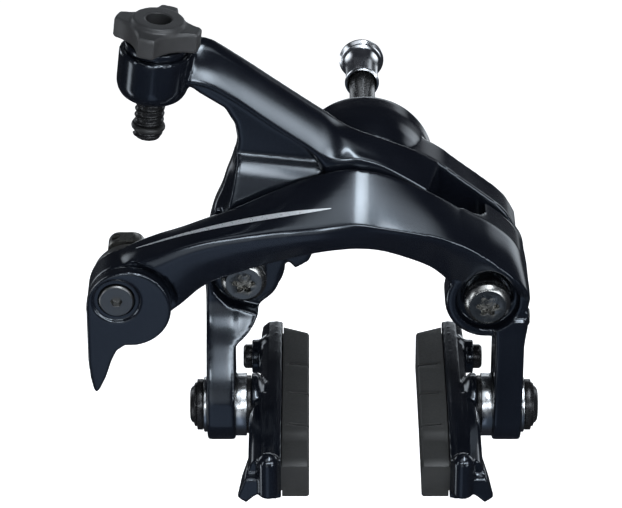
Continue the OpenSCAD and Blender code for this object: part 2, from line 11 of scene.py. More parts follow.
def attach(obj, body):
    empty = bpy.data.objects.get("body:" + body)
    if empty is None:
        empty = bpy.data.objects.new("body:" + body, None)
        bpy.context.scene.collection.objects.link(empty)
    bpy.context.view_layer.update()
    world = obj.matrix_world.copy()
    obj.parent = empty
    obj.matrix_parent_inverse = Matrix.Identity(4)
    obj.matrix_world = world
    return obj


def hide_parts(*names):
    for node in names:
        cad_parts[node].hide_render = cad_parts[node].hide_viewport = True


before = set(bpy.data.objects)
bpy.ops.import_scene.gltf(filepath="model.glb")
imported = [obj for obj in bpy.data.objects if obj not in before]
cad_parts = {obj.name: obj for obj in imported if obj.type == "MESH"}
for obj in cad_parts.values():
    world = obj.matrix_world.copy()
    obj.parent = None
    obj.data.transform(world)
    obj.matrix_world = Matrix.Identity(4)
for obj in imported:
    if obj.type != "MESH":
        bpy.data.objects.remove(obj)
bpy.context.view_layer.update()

MM = 0.001
scene = bpy.context.scene

# ---- Node helpers ----
# The owner of a node tree is a material, a light or the world.


def node(owner, kind, inputs=None, **settings):
    """A new shader node; an input is a value or another node's socket."""
    made = owner.node_tree.nodes.new("ShaderNode" + kind)
    for key, value in settings.items():
        setattr(made, key, value)
    for key, value in (inputs or {}).items():
        if isinstance(value, bpy.types.NodeSocket):
            owner.node_tree.links.new(value, made.inputs[key])
        else:
            made.inputs[key].default_value = value
    return made


def link(owner, source, target):
    """Joins one node's output to another's input."""
    owner.node_tree.links.new(source, target)


def maths(owner, operation, a, b=0.0):
    """The result of a Math node."""
    return node(owner, "Math", {0: a, 1: b}, operation=operation).outputs[0]


def smooth_step(owner, value, start, end):
    """Goes from 0 at start to 1 at end."""
    limits = {"Value": value, "From Min": start, "From Max": end}
    return node(owner, "MapRange", limits, interpolation_type="SMOOTHSTEP").outputs[0]


# ---- Camera ----

AIM = Vector((-12, -23, -13.4)) * MM
CAMERA_ELEVATION = math.radians(30)
CAMERA_DISTANCE = 0.75
CAMERA_LENS = 194.8


def look_at(obj, target):
    obj.rotation_euler = (Vector(target) - obj.location).to_track_quat("-Z", "Y").to_euler()


def add_camera():
    data = bpy.data.cameras.new("camera")
    data.sensor_width = 36
    data.lens = CAMERA_LENS
    obj = bpy.data.objects.new("camera", data)
    back = Vector((0, -math.cos(CAMERA_ELEVATION), math.sin(CAMERA_ELEVATION)))
    obj.location = AIM + CAMERA_DISTANCE * back
    look_at(obj, AIM)
    scene.collection.objects.link(obj)
    scene.camera = obj


add_camera()

# ---- Floor and lights ----

FLOOR_Z, FLOOR_HALF = -0.5, 40


def add_floor():
    mesh = bpy.data.meshes.new("floor")
    corners = [(-1, -1), (1, -1), (1, 1), (-1, 1)]
    mesh.from_pydata([(FLOOR_HALF * x, FLOOR_HALF * y, FLOOR_Z) for x, y in corners], [], [(0, 1, 2, 3)])
    obj = bpy.data.objects.new("floor", mesh)
    scene.collection.objects.link(obj)
    mat = bpy.data.materials.new("floor_white")
    mat.use_nodes = True
    shader = mat.node_tree.nodes["Principled BSDF"]
    shader.inputs["Base Color"].default_value = (0.86, 0.86, 0.86, 1)
    shader.inputs["Roughness"].default_value = 1
    shader.inputs["Specular IOR Level"].default_value = 0
    shader.inputs["Emission Color"].default_value = (1, 1, 1, 1)
    shader.inputs["Emission Strength"].default_value = 0.9
    mesh.materials.append(mat)
    obj.visible_glossy = False


def add_world():
    """Dark studio with a dim blue glow low in front of the caliper."""
    world = bpy.data.worlds.new("studio")
    scene.world = world
    world.use_nodes = True
    split = node(world, "SeparateXYZ", {0: node(world, "TexCoord").outputs["Generated"]})
    forward = maths(world, "MULTIPLY", split.outputs["Y"], -1.0)
    level = smooth_step(world, forward, 0.15, 0.75)
    low = smooth_step(world, split.outputs["Z"], 0.25, -0.35)
    mix = node(world, "Mix", data_type="RGBA")
    link(world, maths(world, "MULTIPLY", level, low), mix.inputs["Factor"])
    mix.inputs["A"].default_value = (0.022, 0.024, 0.03, 1)
    mix.inputs["B"].default_value = (0.04, 0.055, 0.08, 1)
    link(world, mix.outputs["Result"], world.node_tree.nodes["Background"].inputs["Color"])


def window(light, value, softness):
    """Falls to nothing at both ends of 0..1, the more gently the larger the softness."""
    far = maths(light, "SUBTRACT", 1.0, value)
    full = maths(light, "MULTIPLY", maths(light, "MULTIPLY", value, far), 4.0)
    return maths(light, "POWER", full, softness)


def softbox(name, direction, size, radiance, softness, colour, distance=1.0, roll=0):
    """A rectangular studio light that points at the caliper and fades towards its edges."""
    data = bpy.data.lights.new(name, "AREA")
    data.shape = "RECTANGLE"
    data.size, data.size_y = size
    data.energy = radiance * math.pi * size[0] * size[1]
    data.color = colour
    data.use_nodes = True
    split = node(data, "SeparateXYZ", {0: node(data, "NewGeometry").outputs["Parametric"]})
    across = window(data, split.outputs["X"], softness[0])
    along = window(data, split.outputs["Y"], softness[1])
    link(data, maths(data, "MULTIPLY", across, along), data.node_tree.nodes["Emission"].inputs["Strength"])
    obj = bpy.data.objects.new(name, data)
    obj.location = AIM + distance * Vector(direction).normalized()
    look_at(obj, AIM)
    obj.rotation_euler.rotate_axis("Z", math.radians(roll))
    obj.visible_camera = False
    scene.collection.objects.link(obj)


COOL = (0.88, 0.94, 1.0)
BLUE = (0.62, 0.76, 1.0)
EVEN = (1, 1)
# name, direction from the caliper, width and height, radiance, softness, colour, distance in metres, roll.
LIGHTS = [
    ("overhead_strip", (0.20, -0.25, 0.97), (0.2, 0.9), 13, (0.3, 0.4), COOL, 1.0, -38),
    ("overhead_wide", (0.14, -0.30, 0.95), (1.6, 0.6), 2.2, (1.4, 0.8), COOL),
    ("right_box", (0.62, -0.66, 0.32), (0.5, 0.5), 6, (0.8, 1.0), COOL),
    ("right_low", (0.62, -0.74, -0.04), (0.45, 0.14), 9, EVEN, COOL),
    ("crest_light", (0.26, -0.80, 0.42), (0.55, 0.26), 10, EVEN, COOL),
    ("front_top", (-0.30, -0.62, 0.72), (0.8, 0.22), 1.2, EVEN, COOL),
    ("front_level", (-0.22, -0.97, -0.05), (0.6, 0.6), 0.9, EVEN, COOL),
    ("leg_card", (-0.031, -0.94, 0.33), (0.036, 0.09), 13, (0.7, 1), COOL, 0.25),
    ("crest_card", (-0.278, -0.923, 0.26), (0.07, 0.05), 12, EVEN, COOL, 0.27),
    ("lever_card", (-0.13, -0.783, -0.608), (0.15, 0.18), 0.34, (0.7, 0.3), BLUE, 0.33),
    ("barrel_card", (-0.20, -0.912, -0.372), (0.05, 0.07), 0.34, (0.6, 0.6), BLUE, 0.285),
    ("left_side", (-0.88, -0.15, -0.42), (0.25, 0.6), 4, EVEN, COOL),
    ("left_mid", (-0.85, -0.45, 0.15), (0.22, 0.7), 4, EVEN, COOL),
    ("back_left", (-0.75, 0.65, 0.12), (0.5, 0.8), 2.2, EVEN, COOL),
    ("back_right", (0.75, 0.65, 0.12), (0.5, 0.8), 2.2, EVEN, COOL),
    ("back_top", (0.1, 0.95, 0.2), (0.9, 0.25), 2, EVEN, COOL),
    ("back_low", (0.05, 0.96, -0.25), (0.9, 0.3), 2.4, EVEN, COOL),
]
scene.view_settings.view_transform = "Standard"
add_floor()
add_world()
for light in LIGHTS:
    softbox(*light)

# ---- Materials ----


def material(name):
    """An empty material with a Principled shader."""
    mat = bpy.data.materials.new(name)
    mat.use_nodes = True
    mat.node_tree.nodes.clear()
    shader = node(mat, "BsdfPrincipled")
    node(mat, "OutputMaterial", {0: shader.outputs[0]})
    return mat, shader


def coordinates(mat):
    return node(mat, "TexCoord").outputs["Object"]


def noise(mat, vector, per_mm, detail=3.0):
    """Noise with the given number of features a millimetre."""
    made = node(mat, "TexNoise", {"Vector": vector, "Scale": per_mm / MM, "Detail": detail})
    return made.outputs["Fac"]


def spread(mat, value, low, high, start=0.3, end=0.7):
    """Maps a value from start..end to low..high."""
    limits = {"Value": value, "From Min": start, "From Max": end, "To Min": low, "To Max": high}
    return node(mat, "MapRange", limits).outputs["Result"]


def bump(mat, shader, height, distance_mm):
    """Lets a height pattern tilt the shader's normal."""
    made = node(mat, "Bump", {"Height": height, "Distance": distance_mm * MM, "Strength": 1.0})
    link(mat, made.outputs["Normal"], shader.inputs["Normal"])


def mixed(mat, factor, a, b):
    """A colour between a and b."""
    made = node(mat, "Mix", data_type="RGBA")
    link(mat, factor, made.inputs["Factor"])
    made.inputs["A"].default_value = (*a, 1)
    made.inputs["B"].default_value = (*b, 1)
    return made.outputs["Result"]


def gloss_black():
    """Deep navy-black gloss over polished aluminium, with the faintest orange peel."""
    mat, shader = material("gloss_black")
    where = coordinates(mat)
    cloud = noise(mat, where, 0.12, 2)
    fine = noise(mat, where, 1.4, 2)
    link(mat, mixed(mat, cloud, (0.0025, 0.003, 0.005), (0.004, 0.005, 0.008)), shader.inputs["Base Color"])
    link(mat, spread(mat, cloud, 0.15, 0.21), shader.inputs["Roughness"])
    shader.inputs["Metallic"].default_value = 0
    shader.inputs["IOR"].default_value = 1.6
    shader.inputs["Specular Tint"].default_value = (0.80, 0.90, 1.0, 1)
    shader.inputs["Coat Weight"].default_value = 0.35
    shader.inputs["Coat Roughness"].default_value = 0.06
    bump(mat, shader, fine, 0.004)
    return mat


def satin(name, dark, light, roughness, metallic=0.0, grain=3.0, depth=0.01):
    """A finely grained satin surface: moulded plastic, black oxide or rubber."""
    mat, shader = material(name)
    where = coordinates(mat)
    cloud = noise(mat, where, 0.25, 4)
    fine = noise(mat, where, grain, 3)
    link(mat, mixed(mat, cloud, dark, light), shader.inputs["Base Color"])
    link(mat, spread(mat, fine, roughness - 0.05, roughness + 0.07), shader.inputs["Roughness"])
    shader.inputs["Metallic"].default_value = metallic
    bump(mat, shader, fine, depth)
    return mat


def about(mat, operation, a, b, output="Vector"):
    """The result of a Vector Math node with two vectors."""
    return node(mat, "VectorMath", {0: a, 1: b}, operation=operation).outputs[output]


def turned(name, centre, axis, dark, light, roughness, lines=9.0, depth=0.006, ends=None):
    """Metal turned on a lathe, with fine lines round the axis; ends gives its end faces a darker colour,
    painted shade on the faces square to the axis.
    """
    mat, shader = material(name)
    where = coordinates(mat)
    way = Vector(axis).normalized()
    moved = about(mat, "SUBTRACT", where, tuple(c * MM for c in centre))
    along = about(mat, "DOT_PRODUCT", moved, tuple(way), "Value")
    on_axis = node(mat, "VectorMath", {0: tuple(way), "Scale": along}, operation="SCALE").outputs[0]
    away = about(mat, "SUBTRACT", moved, on_axis)
    radius = node(mat, "VectorMath", {0: away}, operation="LENGTH").outputs["Value"]
    rings = node(mat, "CombineXYZ", {"X": radius, "Y": along}).outputs[0]
    grooves = noise(mat, rings, lines, 2)
    cloud = noise(mat, where, 0.5, 3)
    colour = mixed(mat, grooves, dark, light)
    # Painted shade: faces square to the axis take the darker ends colour.
    if ends:
        normal = node(mat, "NewGeometry").outputs["Normal"]
        facing = maths(mat, "ABSOLUTE", about(mat, "DOT_PRODUCT", normal, tuple(way), "Value"))
        both = node(mat, "Mix", data_type="RGBA")
        link(mat, spread(mat, facing, 0, 1, 0.88, 0.96), both.inputs["Factor"])
        link(mat, colour, both.inputs["A"])
        both.inputs["B"].default_value = (*ends, 1)
        colour = both.outputs["Result"]
    link(mat, colour, shader.inputs["Base Color"])
    link(mat, spread(mat, cloud, roughness - 0.03, roughness + 0.04), shader.inputs["Roughness"])
    shader.inputs["Metallic"].default_value = 1
    if depth:
        bump(mat, shader, grooves, depth)
    return mat


GLOSS = gloss_black()
GRAPHITE = satin("graphite", (0.030, 0.030, 0.031), (0.045, 0.045, 0.046), 0.42, 0.2)
OXIDE = satin("black_oxide", (0.012, 0.012, 0.013), (0.022, 0.022, 0.023), 0.26, 0.5, 3.0, 0.003)
PAD = satin("pad_rubber", (0.015, 0.015, 0.0145), (0.026, 0.026, 0.025), 0.5, 0.0, 2.0, 0.02)
SEAL = satin("seal_rubber", (0.010, 0.010, 0.010), (0.016, 0.016, 0.016), 0.4)
STRIPE_SILVER = satin("stripe_silver", (0.62, 0.64, 0.66), (0.72, 0.74, 0.76), 0.3, 0.6)
SPRING = satin("spring_wire", (0.30, 0.30, 0.31), (0.42, 0.42, 0.43), 0.3, 1.0)

# ---- Shapes ----
# A shell is a pair of lists, points in millimetres and faces. Shells that overlap are fused by a remesh.


def curve(points, per):
    """A smooth centripetal curve through points of any dimension, with per steps between neighbours."""
    pts = [Vector(p) for p in points]
    last = len(pts) - 1
    out = []
    for i in range(last):
        b, c = pts[i], pts[i + 1]
        a = pts[i - 1] if i > 0 else b - (c - b)
        d = pts[i + 2] if i + 2 <= last else c + (c - b)
        t1 = max((b - a).length, 1e-6) ** 0.5
        t2 = t1 + max((c - b).length, 1e-6) ** 0.5
        t3 = t2 + max((d - c).length, 1e-6) ** 0.5
        for k in range(per):
            t = t1 + (t2 - t1) * k / per
            ab = a * ((t1 - t) / t1) + b * (t / t1)
            bc = b * ((t2 - t) / (t2 - t1)) + c * ((t - t1) / (t2 - t1))
            cd = c * ((t3 - t) / (t3 - t2)) + d * ((t - t2) / (t3 - t2))
            abc = ab * ((t2 - t) / t2) + bc * (t / t2)
            bcd = bc * ((t3 - t) / (t3 - t1)) + cd * ((t - t1) / (t3 - t1))
            out.append(tuple(abc * ((t2 - t) / (t2 - t1)) + bcd * ((t - t1) / (t2 - t1))))
    out.append(tuple(pts[-1]))
    return out


def skin(rings, closed=False):
    """A skin over rings of points, capped at both ends unless the rings close on themselves."""
    n = len(rings[0])
    verts = [tuple(p) for ring in rings for p in ring]
    faces = []
    count = len(rings)
    for k in range(count if closed else count - 1):
        a = k * n
        b = (k + 1) % count * n
        for i in range(n):
            j = (i + 1) % n
            faces.append((a + i, a + j, b + j, b + i))
    if not closed:
        faces.append(tuple(range(n))[::-1])
        faces.append(tuple((count - 1) * n + i for i in range(n)))
    return verts, faces


def plate_y(outline, y0, y1):
    """An (x, z) outline made solid between two depths."""
    return skin([[(x, y, z) for x, z in outline] for y in (y0, y1)])


def plate_x(outline, x0, x1):
    """A (y, z) outline made solid between two places along X."""
    return skin([[(x, y, z) for y, z in outline] for x in (x0, x1)])


def turned_solid(centre, axis, profile, sides=72):
    """A solid of revolution: profile is (distance along the axis, radius)."""
    way = Vector(axis).normalized()
    side = way.orthogonal().normalized()
    up = way.cross(side)
    rings = []
    for along, radius in profile:
        ring = []
        for k in range(sides):
            q = 2 * math.pi * k / sides
            ring.append(Vector(centre) + way * along + (side * math.cos(q) + up * math.sin(q)) * radius)
        rings.append(ring)
    return skin(rings)


def sweep(path, radius, sides=12, closed=False):
    """A round wire along a path of points."""
    pts = [Vector(p) for p in path]
    n = len(pts)
    rings = []
    side = None
    for i, p in enumerate(pts):
        ahead = pts[(i + 1) % n] if closed or i + 1 < n else p
        behind = pts[i - 1] if closed or i > 0 else p
        way = (ahead - behind).normalized()
        side = way.orthogonal() if side is None else side - way * side.dot(way)
        side.normalize()
        up = way.cross(side)
        turn = [2 * math.pi * k / sides for k in range(sides)]
        rings.append([p + (side * math.cos(q) + up * math.sin(q)) * radius for q in turn])
    return skin(rings, closed)


def rod_x(y, z, r, x0, x1, sides=72):
    return turned_solid((0, y, z), (1, 0, 0), [(x0, r), (x1, r)], sides)


def rod_y(x, z, r, y0, y1, sides=72):
    return turned_solid((x, 0, z), (0, 1, 0), [(y0, r), (y1, r)], sides)


def rod_z(x, y, r, z0, z1, sides=48):
    return turned_solid((x, y, 0), (0, 0, 1), [(z0, r), (z1, r)], sides)


def box(x0, x1, y0, y1, z0, z1):
    return plate_y([(x0, z0), (x1, z0), (x1, z1), (x0, z1)], y0, y1)


def arc(centre, radius, start, end, steps):
    """Points on an arc, in degrees, counter-clockwise when end is above start."""
    out = []
    for k in range(steps + 1):
        q = math.radians(start + (end - start) * k / steps)
        out.append((centre[0] + radius * math.cos(q), centre[1] + radius * math.sin(q)))
    return out


def on_side(side, shell):
    """A shell drawn for the right side, mirrored when side is -1."""
    if side > 0:
        return shell
    verts, faces = shell
    return [(-x, y, z) for x, y, z in verts], [f[::-1] for f in faces]


def mesh_object(name, shells):
    """One object holding the shells, still in millimetres."""
    verts, faces = [], []
    for points, polys in shells:
        start = len(verts)
        verts += points
        faces += [tuple(start + i for i in f) for f in polys]
    mesh = bpy.data.meshes.new(name)
    mesh.from_pydata([tuple(p) for p in verts], [], faces)
    work = bmesh.new()
    work.from_mesh(mesh)
    bmesh.ops.recalc_face_normals(work, faces=work.faces)
    work.to_mesh(mesh)
    work.free()
    obj = bpy.data.objects.new(name, mesh)
    scene.collection.objects.link(obj)
    return obj


def apply_modifiers(obj):
    """Replaces the object's mesh by its modified one."""
    graph = bpy.context.evaluated_depsgraph_get()
    made = bpy.data.meshes.new_from_object(obj.evaluated_get(graph))
    old = obj.data
    obj.modifiers.clear()
    obj.data = made
    bpy.data.meshes.remove(old)


def remesh(obj, voxel):
    """Fuses the object's shells into one skin."""
    fuse = obj.modifiers.new("fuse", "REMESH")
    fuse.mode = "VOXEL"
    fuse.voxel_size = voxel
    apply_modifiers(obj)


def bevel(obj, width):
    """A modifier that rounds sharp edges."""
    edge = obj.modifiers.new("edge", "BEVEL")
    edge.width = width
    edge.segments = 2
    edge.limit_method = "ANGLE"
    edge.angle_limit = math.radians(35)


def soften(obj, width):
    """Rounds the sharp edges of a crisp mesh."""
    bevel(obj, width)
    apply_modifiers(obj)


def cut(obj, shells):
    """Takes each shell away from the object."""
    for shell in shells:
        tool = mesh_object("cutter", [shell])
        take = obj.modifiers.new("cut", "BOOLEAN")
        take.operation = "DIFFERENCE"
        take.solver = "MANIFOLD"
        take.object = tool
        apply_modifiers(obj)
        mesh = tool.data
        bpy.data.objects.remove(tool)
        bpy.data.meshes.remove(mesh)


def place(obj, body, nodes, mat, sharp=38):
    """Scales a finished piece to metres, shades it and puts it on its body."""
    obj.data.transform(Matrix.Scale(MM, 4))
    obj.data.materials.clear()
    obj.data.materials.append(mat)
    obj.data.shade_smooth()
    obj.data.set_sharp_from_angle(angle=math.radians(sharp))
    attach(obj, body)
    if nodes:
        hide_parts(*nodes)


def smooth(obj, passes, weight=None):
    """Relaxes the mesh; weight gives the share of the relaxing at a point."""
    relax = obj.modifiers.new("relax", "SMOOTH")
    relax.factor = 0.5
    relax.iterations = passes
    if weight:
        group = obj.vertex_groups.new(name="relax")
        for v in obj.data.vertices:
            group.add([v.index], weight(v.co), "REPLACE")
        relax.vertex_group = group.name
    apply_modifiers(obj)
    obj.vertex_groups.clear()


def forged(name, shells, soft_cuts, crisp_cuts, voxel, passes, weight=None):
    """A forging: shells fused, softly cut where edges are rounded, and then bored with crisp edges."""
    obj = mesh_object(name, shells)
    remesh(obj, voxel)
    if soft_cuts:
        cut(obj, soft_cuts)
        remesh(obj, voxel)
    smooth(obj, passes, weight)
    cut(obj, crisp_cuts)
    return obj


# ---- Sizes shared with the frame, in millimetres ----

SIDES = {-1: "left", 1: "right"}
PIVOT_X, PIVOT_Z = 27, -19.3
ROLLER_Z, PIVOT_TO_ROLLER = 0.7, 20
PAD_Y, BOLT_Z, REACH_TRAVEL = -27, -50.5, 9
PLATE_FRONT, PLATE_BACK = -17.6, -9
REAR_BACK, REAR_FRONT, FRONT_BACK = -18.25, -26.2, -26.6
PIVOT_FRONT, BOSS_FRONT = -24.8, -34
BAR_IN, BAR_OUT, BAR_R, SLOT_R = 29, 35.5, 8, 4
POCKET_R, BUSH_BORE = 7.1, 4.55
CAM_X, CAM_Z, CAM_FRONT = -52.1, -18.7, -35.25
# Places along Y that are clear of everything that is bored from the front or the back.
BEHIND, AHEAD = -10, -45
VOXEL = 0.36


def shoe_slot(side):
    """The slot for the shoe bolt through a pad bar; side is -1 for the left."""
    top = arc((PAD_Y, BOLT_Z + REACH_TRAVEL), SLOT_R, 0, 180, 18)
    low = arc((PAD_Y, BOLT_Z), SLOT_R, 180, 360, 18)
    return plate_x(top + low, *sorted((side * (BAR_IN - 3), side * (BAR_OUT + 3))))


def washer_seats(side):
    """Flat seats on both faces of a pad bar, where the ball washers stand at the top of the slot."""
    z = BOLT_Z + REACH_TRAVEL
    sunk = 0.03
    inner = rod_x(PAD_Y, z, 7.5, *sorted((side * (BAR_IN - 6), side * (BAR_IN + sunk))))
    outer = rod_x(PAD_Y, z, 6.6, *sorted((side * (BAR_OUT - sunk), side * (BAR_OUT + 4))))
    return [inner, outer]


def bar(side, top, front):
    """A pad bar with a round lower end; front is its front edge from the top down, as (y, z)."""
    end = arc((PAD_Y, BOLT_Z), BAR_R, 180, 360, 24)
    outline = end + [(PAD_Y + BAR_R, top)] + front
    return plate_x(outline, *sorted((side * BAR_IN, side * BAR_OUT)))


# ---- Front arm ----

# x, height of the top edge, depth and height of the crest, depth and height of the lower edge.
FRONT_BEAM = [
    (-56.5, -11.4, -35.4, -13, -35.1, -25),
    (-52, -8.2, -36.2, -9, -35.3, -26.4),
    (-46, -5.5, -36.6, -6.3, -35.2, -23.6),
    (-41, -3.8, -36.8, -4, -35.2, -19.9),
    (-35.5, -1.6, -36.9, -2.2, -35.2, -14.9),
    (-28, 1.4, -37.2, -0.6, -35.6, -11.4),
    (-20, 5.3, -37.5, 0.8, -36.2, -8.4),
    (-11, 9, -37.9, 1.9, -36.8, -5.8),
    (-6, 10.4, -38, 2.3, -37, -4.9),
    (-2, 10.6, -38, 2.3, -37, -4.6),
    (3, 9.7, -38, 1.4, -37, -5),
    (9, 7.4, -38, 0.4, -36.9, -6.9),
    (14.9, 4.5, -37.8, -0.8, -35.9, -10.2),
    (20, 1.4, -37.5, -2.8, -34.9, -15.5),
    (25, -2, -37.2, -5.6, -34.3, -19),
]
# The part beyond the notch, which reaches back beside the rear arm.
FRONT_SHOULDER = [
    (21, 0.8, -37.4, -3.3, -34.7, -16.8),
    (23.8, -0.8, -37.25, -4.9, -34.4, -19),
    (27, -2.7, -37.1, -7.2, -34.1, -19),
    (30, -5, -36.8, -9.8, -34.1, -19),
    (32.4, -7.3, -36.5, -12, -34.1, -19),
    (34.2, -10, -36.1, -14, -34.1, -19.2),
    (35.6, -14, -35.7, -16, -34.1, -19.6),
    (36.4, -18, -35.3, -18.4, -34.1, -20),
]


def bulged(a, b, out, steps, skew=1.0):
    """Points from a to b on an arch that stands out by out; a skew below 1 moves its top towards a."""
    (y0, z0), (y1, z1) = a, b
    size = math.hypot(y1 - y0, z1 - z0)
    ny, nz = (z1 - z0) / size, -(y1 - y0) / size
    points = []
    for k in range(steps):
        t = k / steps
        rise = out * math.sin(math.pi * t ** skew)
        points.append((y0 + (y1 - y0) * t + ny * rise, z0 + (z1 - z0) * t + nz * rise))
    return points


def ramp(value, start, end):
    """0 before start, 1 after end, and smooth between them."""
    t = min(max((value - start) / (end - start), 0), 1)
    return t * t * (3 - 2 * t)


def front_ring(row, back):
    """A slice of the front arm: crowned top, full front, lower face turned under, and flat back."""
    x, top, crest_y, crest_z, low_y, low_z = row
    under = ramp(x, -4, 6)
    low_y, low_z = low_y + 1.7 * under, low_z - 0.95 * under
    belly = 0.9 - 0.75 * ramp(x, -12, 3)
    behind = [(back - 1, top)] if back > FRONT_BACK else []
    upper = behind + bulged((FRONT_BACK - 1, top), (crest_y, crest_z), 0.5, 8)
    lower = bulged((crest_y, crest_z), (low_y, low_z + 0.6), belly, 8, 0.6)
    rest = [
        (low_y, low_z + 0.6), (low_y + 0.8, low_z), (back - 0.6, low_z), (back, low_z + 0.6),
        (back, top - 0.8),
    ]
    return [(x, y, z) for y, z in upper + lower + rest]


def link_path(closing):
    """Where the roller stands in the front arm when both arms have closed by an angle."""
    t = math.radians(closing)
    x = PIVOT_X * (math.cos(2 * t) + 1 - 2 * math.cos(t)) - PIVOT_TO_ROLLER * math.sin(2 * t)
    z = PIVOT_X * (math.sin(2 * t) - 2 * math.sin(t)) + PIVOT_TO_ROLLER * (math.cos(2 * t) - 1)
    return x, z + ROLLER_Z


# The stripe along the upper face of the beam: x and z at STRIPE_Y.
STRIPE_Y = -33
STRIPE = [(-50.4, -6.1), (-39.6, -2.6), (-28.6, 0.2), (-17.7, 2.3), (-7.6, 3.8)]


def make_stripe(arm):
    """A tapered silver pinstripe that lies on the front arm's upper face."""
    tree = BVHTree.FromPolygons([v.co for v in arm.data.vertices], [p.vertices for p in arm.data.polygons])
    look = Vector((0, math.cos(CAMERA_ELEVATION), -math.sin(CAMERA_ELEVATION)))
    line = curve(STRIPE, 24)
    count = len(line)
    rows = []
    for k, (x, z) in enumerate(line):
        t = k / (count - 1)
        half = 0.06 + 0.5 * math.sin(math.pi * t ** 1.6) ** 0.8
        row = []
        for side in (-1, -0.5, 0, 0.5, 1):
            start = Vector((x - 0.25 * side * half, STRIPE_Y, z + side * half)) - 30 * look
            hit, normal, _, _ = tree.ray_cast(start, look)
            row.append(hit + 0.03 * normal)
        rows.append(row)
    verts = [p for row in rows for p in row]
    faces = []
    for k in range(count - 1):
        for i in range(4):
            a = 5 * k + i
            faces.append((a, a + 1, a + 6, a + 5))
    obj = mesh_object("front_arm_stripe", [(verts, faces)])
    thick = obj.modifiers.new("thick", "SOLIDIFY")
    thick.thickness = 0.05
    thick.offset = 0
    apply_modifiers(obj)
    place(obj, "front_arm", [], STRIPE_SILVER)


# How far the brake closes, in degrees, and the floor of the pocket for the right pivot bolt.
CLOSING = 9
POCKET_FLOOR = -31.9
# The notch behind the beam that the rear arm's tip moves in: the middle of its round corner.
NOTCH_X, NOTCH_Y = 22.2, -22.3


def front_weight(p):
    """Relaxes the beam's right half the least, so that its crest stays crisp."""
    return max(1 - 0.75 * ramp(p.x, -6, 5), ramp(-p.z, 24, 29))


def make_front_arm():
    beam = skin([front_ring(row, FRONT_BACK) for row in curve(FRONT_BEAM, 4)])
    shoulder = skin([front_ring(row, REAR_BACK) for row in curve(FRONT_SHOULDER, 4)])
    boss = turned_solid((PIVOT_X, 0, PIVOT_Z), (0, 1, 0),
                        [(BOSS_FRONT, 8.6), (BOSS_FRONT + 0.8, 9.4), (REAR_BACK, 9.4)])
    end = rod_y(CAM_X, CAM_Z, 9.3, CAM_FRONT + 0.2, FRONT_BACK - 0.4)
    neck_edge = [(28, -26), (36.2, -22), (36.2, -26), (BAR_OUT, -31), (BAR_IN, -30)]
    neck = plate_y(neck_edge, BOSS_FRONT, PAD_Y + BAR_R)
    path = [link_path(CLOSING * k / 6) for k in range(7)]
    link_slot = [rod_y(x, z, 3.2, -31.4, -25, 32) for x, z in path]
    pocket = rod_y(PIVOT_X, PIVOT_Z, POCKET_R, AHEAD, POCKET_FLOOR)
    sight = turned_solid((PIVOT_X, POCKET_FLOOR, PIVOT_Z), (0, -0.87, 0.5), [(-1, 5.7), (14, 5.9)])
    recess = rod_y(CAM_X, CAM_Z, 10.7, AHEAD, CAM_FRONT + 0.2)
    corner_r = NOTCH_Y - FRONT_BACK
    notch = [
        rod_z(NOTCH_X, NOTCH_Y, corner_r, -30, 10),
        box(10, NOTCH_X, FRONT_BACK, BEHIND, -30, 10),
        box(10, NOTCH_X + corner_r, NOTCH_Y, BEHIND, -30, 10),
    ]
    obj = forged(
        "front_arm_forging",
        [beam, shoulder, boss, end, neck, bar(1, -24, [(PAD_Y - BAR_R, -24)])],
        [pocket, sight, recess, shoe_slot(1)] + notch,
        [
            rod_y(PIVOT_X, PIVOT_Z, BUSH_BORE, AHEAD, BEHIND),
            rod_y(CAM_X, CAM_Z, 6.65, AHEAD, BEHIND),
            rod_y(CAM_X, CAM_Z, 9.6, FRONT_BACK - 0.4, BEHIND),
            rod_x(PAD_Y, -27.2, 2, BAR_IN - 3, BAR_OUT + 3, 32),
        ] + link_slot + washer_seats(1),
        VOXEL, 12, front_weight)
    make_stripe(obj)
    place(obj, "front_arm", ["front_arm"], GLOSS)


# ---- Rear arm ----

# x, height of the top edge, depth and height of the front face's upper edge, lip, bottom, end slant.
REAR_BEAM = [
    (-46.5, 36.0, -21.4, 35.4, 31.6, 30.2, 0),
    (-42, 37.6, -22.4, 36.8, 31.4, 29.9, 0),
    (-38, 38.5, -22.4, 37.5, 31.2, 29.7, 0),
    (-34.4, 38.2, -22, 37.2, 30.4, 28.8, 0),
    (-29, 34.9, -22, 34.1, 27.2, 25.6, 0),
    (-20, 28.4, -22, 27.6, 20.4, 18.8, 0),
    (-12, 22.6, -22, 21.8, 14.6, 13.0, 0),
    (-8.5, 20.1, -22, 19.2, 12.3, 7, 0),
    (-5, 17.5, -22.8, 15.7, 12, -1, 0),
    (-2, 15.9, -24.4, 13.4, 12.3, -3.5, 0),
    (3, 13.9, -25.2, 11.4, 10.8, -3.6, 0),
    (11, 10.7, -25.4, 7.6, 7, -2.4, 1.5),
    (16.6, 7.4, -25.4, 4.9, 4.3, -0.2, 3),
]
REAR_LEG = [
    (-35.6, -22), (-35.6, -14), (-34.6, -6), (-33.2, -0.6), (-30, -2), (-6, -4.6), (-12, -9),
    (-17.2, -15.6), (-18.8, -20),
]
